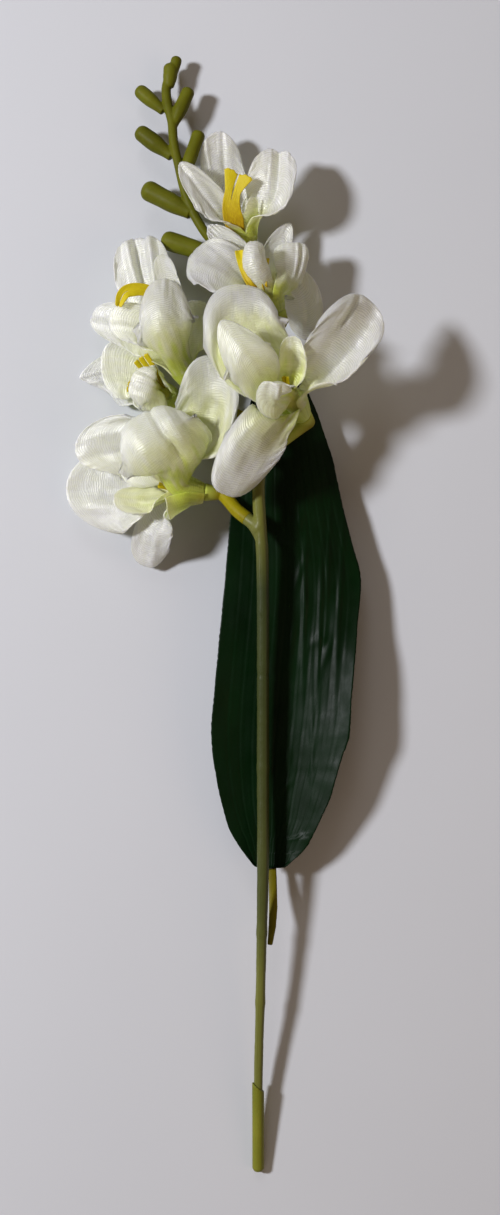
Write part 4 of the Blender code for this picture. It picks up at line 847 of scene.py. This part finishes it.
def lathe(name, profile, steps, at, axis):
    """A closed turned body from (radius, height) points that start and end on the axis."""
    ref = np.array([0, 0, 1.0]) if abs(axis[2]) < 0.9 else np.array([1.0, 0, 0])
    e1 = unit(np.cross(axis, ref))
    e2 = np.cross(axis, e1)
    pts, faces, rings_ = [], [], []
    for r, h in profile:
        if r < 1e-6:
            rings_.append([len(pts)])
            pts.append(at + axis * h)
        else:
            rings_.append([len(pts) + i for i in range(steps)])
            for i in range(steps):
                a = 2 * math.pi * i / steps
                pts.append(at + axis * h + r * (math.cos(a) * e1 + math.sin(a) * e2))
    for p, q in zip(rings_[:-1], rings_[1:]):
        for i in range(steps):
            j = (i + 1) % steps
            if len(p) == 1 and len(q) > 1:
                faces.append((p[0], q[i], q[j]))
            elif len(q) == 1 and len(p) > 1:
                faces.append((p[i], q[0], p[j]))
            elif len(p) > 1:
                faces.append((p[i], q[i], q[j], p[j]))
    obj = mesh_object(name, np.array(pts), faces)
    bm = bmesh.new(); bm.from_mesh(obj.data); bmesh.ops.recalc_face_normals(bm, faces=bm.faces); bm.to_mesh(obj.data); bm.free()
    return obj


def melt(name, parts, voxel, rounds):
    """One smooth moulding from overlapping closed bodies."""
    bm = bmesh.new()
    for o in parts:
        bm.from_mesh(o.data)
        gone = o.data
        bpy.data.objects.remove(o, do_unlink=True)
        bpy.data.meshes.remove(gone)
    me = bpy.data.meshes.new(name)
    bm.to_mesh(me)
    bm.free()
    obj = bpy.data.objects.new(name, me)
    bpy.context.scene.collection.objects.link(obj)
    r = obj.modifiers.new("remesh", "REMESH")
    r.mode, r.voxel_size, r.use_smooth_shade = "VOXEL", voxel * MM, True
    s = obj.modifiers.new("soften", "SMOOTH")
    s.factor, s.iterations = 0.5, rounds
    settle(obj)
    obj.data.shade_smooth()
    return obj


def cup_and_stalk(fname, root, way, start):
    """The green cup round the funnel's foot and the stalk down to the stem."""
    f = FLOWERS[fname]
    base, a, u, v, length = flower_frame(f)
    r0, r1 = f["outer"]["r0"], f["outer"]["r"]
    depth = 0.6
    outer = [(0.0, depth), (r0 - 0.45, depth), (r0 - 0.22, 0.12), (r0 + 0.22, 0.02), (r0 + 0.28, -0.5), (r0 + 0.12, -1.5), (2.15 + 0.30, -2.9), (2.15, -4.6), (0.0, -5.0)]
    cup = lathe(f"{fname}_cup_body", list(reversed(outer)), 72, base, a)
    far = base - a * 3.4
    first = root + way * start
    stops = [first, far]
    if way @ a > 0.5 and np.linalg.norm(far - first) > 10.0:
        stops = [first, first + way * 5.0, base - a * 6.0, far]
    path, _ = curve_through(stops, way, 0.6)
    t = np.linspace(0, 1, 40)
    radius = 2.28 * (1 - 0.05 * np.sin(math.pi * t))
    stalk = sweep(f"{fname}_stalk_body", path(t)[0], radius, 48)
    obj = melt(f"{fname}_cup", [cup, stalk], 0.24, 3)
    count = len(obj.data.vertices)
    co = np.empty(count * 3)
    obj.data.vertices.foreach_get("co", co)
    high = ((co.reshape(-1, 3) / MM - base) @ a + 5.0) / (depth + 4.6)
    at = obj.data.attributes.new("leafy", "FLOAT", "POINT")
    at.data.foreach_set("value", smooth(high, 0.0, 1.0).astype(np.float32))
    return obj


petal_mat = petal_material()
stamen_mat = stamen_material()
leaf_mat = leaf_material()
stem_mat = plastic_material("stem_plastic", (0.024, 0.034, 0.009), (0.046, 0.060, 0.015), 0.42, spec=0.24, streak=(90, 25, 90), subsurface=0.0)
sleeve_mat = plastic_material("sleeve_plastic", (0.140, 0.150, 0.012), (0.200, 0.205, 0.020), 0.44, spec=0.2, streak=(90, 40, 90))
stalk_mat = plastic_material("stalk_plastic", (0.105, 0.090, 0.003), (0.160, 0.140, 0.004), 0.46, spec=0.11, streak=(90, 60, 90))
calyx_mat = plastic_material("calyx_plastic", (0.190, 0.165, 0.004), (0.290, 0.245, 0.004), 0.46, spec=0.10, streak=(120, 120, 120))
bud_mat = plastic_material("bud_plastic", (0.075, 0.078, 0.003), (0.135, 0.142, 0.008), 0.48, spec=0.10, streak=(70, 70, 70))
wire_mat, wnt, wb_ = new_material("wire_steel", Metallic=1.0, Roughness=0.35)
link(wnt, mix_colour(wnt, noise(wnt, scaled(wnt, object_vector(wnt), (400, 40, 400)), 1.0, 3.0), (0.35, 0.35, 0.36), (0.55, 0.55, 0.56)), wb_.inputs["Base Color"])

cnt = calyx_mat.node_tree
cbs = cnt.nodes["Principled BSDF"]
yellow_ = cbs.inputs["Base Color"].links[0].from_socket
leafy_ = mix_colour(cnt, noise(cnt, scaled(cnt, object_vector(cnt), (500, 500, 500)), 1.0, 2.0), (0.42, 0.50, 0.07), (0.54, 0.60, 0.12))
link(cnt, mix_colour(cnt, attribute(cnt, "leafy", "Fac"), yellow_, leafy_), cbs.inputs["Base Color"])

for fname in FLOWERS:
    for which in ("outer", "inner"):
        whorl(fname, which, petal_mat)
    stamens(fname, stamen_mat)

# ---------------------------------------------------------------- stem
STEM_PATH = [(258.3, 1166, 2.36), (258.4, 1075, 7.0), (260.3, 1000, 11.3), (261.5, 945, 13.4), (263, 870, 15.5),
             (263, 780, 16.5), (263, 700, 18.5), (262.5, 560, 22.5), (258.5, 490, 24), (262, 450, 24.5),
             (266, 405, 24.5), (262, 360, 24), (250, 310, 22), (232, 270, 19.5)]


def plan_y(point):
    z = point[..., 2] + CENTRE[2]
    return EYE[1] - (point[..., 1] + CENTRE[1]) / (GRID * (SIGHT - z) / SIGHT)


def stem_radius(y):
    return np.where(y < 490, between([(270, 1.55), (400, 1.8), (490, 2.0)], y), between([(490, 2.0), (870, 1.95), (945, 1.65), (1080, 1.42), (1168, 1.4)], y))


stem_curve, stem_length = curve_through([plan(p) for p in STEM_PATH])
rings = 900
centres, ways = stem_curve(np.linspace(0, 1, rings))
ys = plan_y(centres)
radii = stem_radius(ys)
# knuckles and nicks along the stem
for y0, high, wide in ((665, 0.10, 4.0), (675, -0.12, 2.5), (768, 0.16, 5.0), (800, -0.08, 3.0), (932, 0.18, 5.0), (1002, 0.14, 5.0), (610, 0.07, 4.0), (1040, -0.08, 4.0)):
    radii = radii + high * np.exp(-((ys - y0) / wide) ** 2)
radii = radii + 0.035 * ripples(ys * 0, ys, 3, 40.0) + 0.02 * ripples(ys * 0, ys, 4, 12.0)


def seam(a, j):
    ridge = 0.0
    for at, high, wide in ((math.radians(118), 0.16, 0.09), (math.radians(298), 0.14, 0.09), (math.radians(60), 0.05, 0.25)):
        ridge = ridge + high * np.exp(-((np.angle(np.exp(1j * (a - at)))) / wide) ** 2)
    return ridge * (1 + 0.35 * np.sin(j * 0.23) * np.sin(j * 0.071))


stem = sweep("stem_moulding", centres, radii, 48, seam)
spurs = []
for fname, f in FLOWERS.items():
    k = int(np.argmin(np.abs(ys - f["leaves_stem"])))
    root, way = centres[k], ways[k]
    base, a, u, v, length = flower_frame(f)
    aim = unit((base - a * 4.0) - root)
    reach = max(3.4, (float(stem_radius(np.array(float(f["leaves_stem"])))) + 2.15 + 0.32 + 0.15) / float(np.linalg.norm(np.cross(way, aim))))
    t = np.linspace(0, 1, 16)[:, None]
    pts = root + aim * (reach + 0.15) * t
    rad = 2.14 + 0.55 * (1 - smooth(t[:, 0], 0.0, 0.6))
    # the fillet on the side that looks towards the cut end
    back = -way if way @ (plan((258, 1100, 6)) - root) < 0 else way
    web = [root + aim * reach * 0.95, root + aim * reach * 0.62 + back * 0.9, root + aim * reach * 0.30 + back * 2.6, root + aim * 0.3 + back * 5.4]
    web_curve, _ = curve_through(web)
    spurs.append(sweep(f"{fname}_web", web_curve(np.linspace(0, 1, 16))[0], np.linspace(1.85, 1.35, 16), 24))
    spurs.append(sweep(f"{fname}_spur", pts, rad, 28))
    put(cup_and_stalk(fname, root, aim, reach - 0.10),
        calyx_mat, "calyx_green", f"{fname}_calyx")
for tool in spurs:
    b = stem.modifiers.new("join", "BOOLEAN")
    b.operation, b.solver, b.object = "UNION", "EXACT", tool
settle(stem)
for tool in spurs:
    bpy.data.objects.remove(tool, do_unlink=True)
bm = bmesh.new()
bm.from_mesh(stem.data)
roots = [Vector(centres[int(np.argmin(np.abs(ys - f["leaves_stem"])))] * MM) for f in FLOWERS.values()]
bmesh.ops.triangulate(bm, faces=[q for q in bm.faces if len(q.verts) > 4])
near = [w for w in bm.verts if min((w.co - r).length for r in roots) < 4.6 * MM]
for _ in range(10):
    bmesh.ops.smooth_vert(bm, verts=near, factor=0.5, use_axis_x=True, use_axis_y=True, use_axis_z=True)
bm.to_mesh(stem.data)
bm.free()
stem.data.shade_smooth()
# paler and yellower towards the flowers and the cut end
nt_ = stem_mat.node_tree
bsdf_ = nt_.nodes["Principled BSDF"]
sep_ = nt_.nodes.new("ShaderNodeSeparateXYZ")
link(nt_, object_vector(nt_), sep_.inputs[0])
ramp = nt_.nodes.new("ShaderNodeValToRGB")
place = span(nt_, sep_.outputs[1], -0.19, 0.13)
link(nt_, place, ramp.inputs["Fac"])
for at, value in ((0.0, 0.95), (0.22, 0.85), (0.30, 0.25), (0.62, 0.0), (0.69, 0.9), (0.75, 1.0)):
    e = ramp.color_ramp.elements.new(at) if at > 0.0 else ramp.color_ramp.elements[0]
    e.color = (value, value, value, 1)
ramp.color_ramp.elements[-1].color = (1, 1, 1, 1)
old = bsdf_.inputs["Base Color"].links[0].from_socket
pale_ = mix_colour(nt_, noise(nt_, scaled(nt_, object_vector(nt_), (90, 30, 90)), 1.0, 3.0), (0.120, 0.128, 0.022), (0.20, 0.205, 0.042))
link(nt_, mix_colour(nt_, ramp.outputs["Color"], old, pale_), bsdf_.inputs["Base Color"])
put(stem, stem_mat, "stem_green", "stem")
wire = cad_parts["stem_wire"]
wire.data.materials.clear()
wire.data.materials.append(wire_mat)

# ---------------------------------------------------------------- sleeve over the cut end
put(remould("base_sleeve", "base_sleeve_tube", 0.24, 4), sleeve_mat, "sleeve_green", "base_sleeve")

# ---------------------------------------------------------------- leaf
LEAF_LEFT = [(868, 262), (866, 255), (850, 241), (830, 229), (800, 220.5), (760, 213), (730, 210.7), (700, 213.5),
             (640, 219), (580, 225), (518, 230), (460, 238), (410, 248), (370, 260), (345, 271)]
LEAF_RIGHT = [(868, 272), (867, 285), (850, 306), (800, 330), (750, 344), (742, 349.5), (700, 351.5), (650, 356),
              (620, 358), (586, 361.5), (570, 360), (540, 351), (500, 341), (460, 333), (410, 316), (370, 298), (345, 281)]
LEAF_HEIGHT = [(868, 8.6), (800, 10.0), (700, 12.2), (600, 13.6), (500, 14.0), (400, 11.5), (345, 9.5)]
LEAF_RIGHT_RISE = [(868, 1.0), (840, 4.0), (800, 7.0), (750, 7.6), (700, 6.4), (640, 2.0), (586, -2.8), (540, -4.8),
                   (500, -5.6), (460, -4.8), (400, -2.6), (345, -0.5)]
LEAF_LEFT_RISE = [(868, 1.0), (840, 2.2), (800, 3.0), (700, 3.2), (600, 2.4), (518, 1.6), (400, 0.5), (345, 0.0)]
# rib places across the leaf, from -1 at the left edge to 1 at the right edge
RIBS = (-0.78, -0.60, -0.42, -0.24, -0.06, 0.16, 0.33, 0.50, 0.66, 0.82)


def soft_between(stops, y, width=14.0):
    return sum(between(stops, y + o * width) * w for o, w in ((-1, 0.25), (-0.5, 0.2), (0, 0.1), (0.5, 0.2), (1, 0.25)))


def leaf():
    nu, nt = ((96, 250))
    S, Tq = np.meshgrid(np.linspace(-1, 1, nu + 1), np.linspace(0, 1, nt + 1))
    yrow = 868 - (868 - 345) * (1 - np.cos(math.pi * Tq)) / 2
    left, right = [np.where(yrow > 858, between(side, yrow), soft_between(side, np.minimum(yrow, 860), 6.0)) for side in (LEAF_LEFT, LEAF_RIGHT)]
    ends_in = smooth(Tq, 0.0, 0.10) * (1 - smooth(Tq, 0.90, 1.0))
    soft_left = left + (soft_between(LEAF_LEFT, yrow, 30) - left) * ends_in
    soft_right = right + (soft_between(LEAF_RIGHT, yrow, 30) - right) * ends_in
    rise = np.where(S > 0, soft_between(LEAF_RIGHT_RISE, yrow, 34), soft_between(LEAF_LEFT_RISE, yrow, 34))
    z = soft_between(LEAF_HEIGHT, yrow, 22) + rise * np.abs(S) ** 1.6
    width = (soft_right - soft_left) * GRID
    # ribs pressed into the cloth, a crease along the middle, and loose wrinkles between them
    across = S * width / 2
    press = np.zeros_like(S)
    for r in RIBS:
        press -= 0.12 * np.exp(-((S - r) * width / 2 / 0.30) ** 2)
        press += 0.06 * np.exp(-((S - r - 0.03) * width / 2 / 0.35) ** 2)
    ends = smooth(Tq, 0.0, 0.06) * (1 - smooth(Tq, 0.93, 1.0))
    wrinkle = 0.0
    for x0, y0, wx, wy, high, tilt in WRINKLES:
        px = (soft_left + soft_right) / 2 + S * (soft_right - soft_left) / 2
        dx, dy = px - x0, yrow - y0
        cx = dx * math.cos(tilt) + dy * math.sin(tilt)
        cy = -dx * math.sin(tilt) + dy * math.cos(tilt)
        wrinkle = wrinkle + high * np.exp(-(cx / wx) ** 2 - (cy / wy) ** 2)
    loose = 0.20 * ripples(across * 0.6, yrow / 5.0, 41, 16.0) + 0.05 * ripples(across, yrow / 4.0, 42, 7.0)
    loose *= np.where(S > 0.05, 1.0, 0.35)
    edge = 0.35 * np.sin(yrow / 3.0 / 9.0 + 1.0) * smooth(np.abs(S), 0.75, 1.0)
    z = z + (press + wrinkle + loose + edge) * ends
    k = GRID * (SIGHT - z) / SIGHT
    px = (soft_left + soft_right) / 2 + S * (soft_right - soft_left) / 2
    px = px + np.where(S > 0, right - soft_right, left - soft_left) * np.abs(S) ** 10
    px = px + smooth(np.abs(S), 0.93, 1.0) * 0.25 * ripples(S * 3.0, yrow, 44, 3.0, 4)
    P = np.stack([(px - EYE[0]) * k - CENTRE[0], (EYE[1] - yrow) * k - CENTRE[1], z - CENTRE[2]], axis=-1)
    quads = [(j * (nu + 1) + i, j * (nu + 1) + i + 1, (j + 1) * (nu + 1) + i + 1, (j + 1) * (nu + 1) + i) for j in range(nt) for i in range(nu)]
    st = np.stack([across, yrow / 3.0, Tq], axis=-1)
    obj = mesh_object("leaf_cloth", P.reshape(-1, 3), quads, {"st": st.reshape(-1, 3)})
    s = obj.modifiers.new("cloth", "SOLIDIFY")
    s.thickness, s.offset = 0.4 * MM, 0.0
    settle(obj)
    put(obj, leaf_mat, "leaf_green", "leaf")


WRINKLES = [(290, 548, 14, 4, 0.5, 0.5), (300, 572, 3, 16, 0.45, 0.25), (305, 600, 3, 18, 0.4, -0.1), (292, 640, 3, 22, 0.45, 0.12),
            (318, 640, 12, 5, 0.45, -0.5), (326, 655, 3, 14, 0.35, 0.3), (288, 668, 5, 8, 0.35, 0.0), (283, 712, 7, 3, 0.4, 0.2),
            (288, 757, 3, 9, 0.35, 0.1), (286, 786, 6, 3, 0.3, -0.6), (284, 824, 4, 3, 0.3, 0.0), (300, 520, 4, 12, 0.3, 0.2),
            (335, 620, 3, 20, 0.3, 0.1), (322, 590, 3, 14, 0.3, 0.0),
            (304, 610, 2.0, 62, 0.56, 0.02), (319, 640, 2.0, 80, 0.46, 0.03), (339, 610, 2.2, 85, 0.46, 0.05), (328, 560, 1.8, 60, 0.34, 0.04), (312, 740, 2.2, 60, 0.3, 0.0),
            (298, 837, 9, 1.6, 0.3, -0.35)]
leaf()


# ---------------------------------------------------------------- leaf stalk, buds
put(remould("leaf_stalk", "leaf_stalk_strap", 0.28, 4), stalk_mat, "stalk_olive", "leaf_stalk")
RACHIS = [(229.5, 264.5, 20.6), (216, 246, 20.0), (204, 231, 20.0), (194, 214, 19.6), (185.5, 194, 18.4), (178.5, 165, 16.4),
          (173.4, 140, 14.4), (172, 122, 12.8), (167.6, 104, 11.2), (166.2, 90, 10.0), (168.5, 79, 9.4)]
RACHIS_R = [(79, 1.45), (100, 1.45), (136, 1.4), (170, 1.35), (231, 1.4), (270, 1.5)]
BUDS = [((171.5, 63, 9.2), (169, 87, 9.8), 2.45), ((177.5, 56, 9.6), (172, 78, 9.6), 1.75), ((136.5, 88, 8.4), (163.5, 111, 10.6), 2.35),
        ((136.5, 129.5, 10.0), (172, 156, 13.6), 2.8), ((190, 87.5, 11.5), (173, 126, 12.8), 2.3),
        ((200, 130.5, 13.0), (183, 178, 16.5), 2.25), ((142.5, 187.5, 12.0), (191, 213, 18.4), 3.3),
        ((161, 238.5, 15.0), (220, 257, 19.6), 3.1)]
rachis_curve, _ = curve_through([plan(p) for p in RACHIS])
rachis_mid = rachis_curve(np.linspace(0, 1, 120))[0]
moulding = [sweep("rachis_body", rachis_mid, between(RACHIS_R, plan_y(rachis_mid)) + 0.14, 32)]
for k, (tip, foot_at, w) in enumerate(BUDS):
    a_, b_ = plan(foot_at), plan(tip)
    ln = float(np.linalg.norm(b_ - a_))
    q = np.linspace(0, 1, 26)
    # a blunt tip, the thickest place above the middle, and a tapering foot
    body = w * np.minimum(1.0, np.sqrt(np.clip(1 - ((q - (1 - 0.9 * w / ln)) / (0.9 * w / ln)).clip(0) ** 2, 0, 1))) * (0.66 + 0.34 * smooth(q, -0.02, 0.50)) * (1 + 0.035 * np.sin(9 * q + k))
    profile = [(0.0, -0.6)] + [(float(r), float(ln * h)) for r, h in zip(body[:-1], q[:-1])] + [(0.0, ln)]
    moulding.append(lathe(f"bud_body_{k}", profile, 40, a_, unit(b_ - a_)))
put(melt("bud_spray_moulding", moulding, 0.26, 4), bud_mat, "bud_green", "bud_spray")

# ---------------------------------------------------------------- floor, light, camera
bpy.ops.mesh.primitive_plane_add(size=4.0, location=(0, 0, -0.00005))
floor = bpy.context.object
floor.name = "floor"
fm, fnt, fb = new_material("floor_pale", Roughness=0.75, Specular_IOR_Level=0.25)
link(fnt, mix_colour(fnt, noise(fnt, object_vector(fnt), 9.0, 3.0), (0.59, 0.615, 0.65), (0.62, 0.645, 0.68)), fb.inputs["Base Color"])
floor.data.materials.append(fm)


def area_light(name, place, size, power, colour=(1, 1, 1), aim=(0.0, 0.04, 0.01)):
    li = bpy.data.lights.new(name, "AREA")
    li.shape, li.size, li.energy, li.color = "DISK", size, power, colour
    ob = bpy.data.objects.new(name, li)
    bpy.context.scene.collection.objects.link(ob)
    ob.location = place
    ob.rotation_euler = (Vector(aim) - Vector(place)).to_track_quat("-Z", "Y").to_euler()
    return ob


area_light("key", (-0.80, 0.21, 0.84), 0.17, 13.4, (0.985, 0.98, 1.03))
area_light("fill_right", (0.95, -0.35, 0.75), 0.9, 1.7, (1.0, 0.70, 0.45))
area_light("fill_left", (-0.55, -0.95, 0.80), 0.9, 1.0, (1.0, 0.80, 0.64))
area_light("fill_top", (-0.15, 0.95, 0.85), 0.45, 1.3, (1.0, 0.98, 0.97))
world = bpy.data.worlds.new("studio")
bpy.context.scene.world = world
world.use_nodes = True
world.node_tree.nodes["Background"].inputs["Color"].default_value = (1.0, 0.75, 0.56, 1)
world.node_tree.nodes["Background"].inputs["Strength"].default_value = 0.108

cam = bpy.data.cameras.new("camera")
cam_ob = bpy.data.objects.new("camera", cam)
bpy.context.scene.collection.objects.link(cam_ob)
cam_ob.location = (-CENTRE[0] * MM, -CENTRE[1] * MM, (SIGHT - CENTRE[2]) * MM)
cam_ob.rotation_euler = (0, 0, 0)
cam.sensor_fit = "VERTICAL"
cam.sensor_height = 36.0
cam.lens = 36.0 * 600.0 / 405.0
cam.clip_start = 0.01
bpy.context.scene.camera = cam_ob
bpy.context.scene.view_settings.view_transform = "Standard"
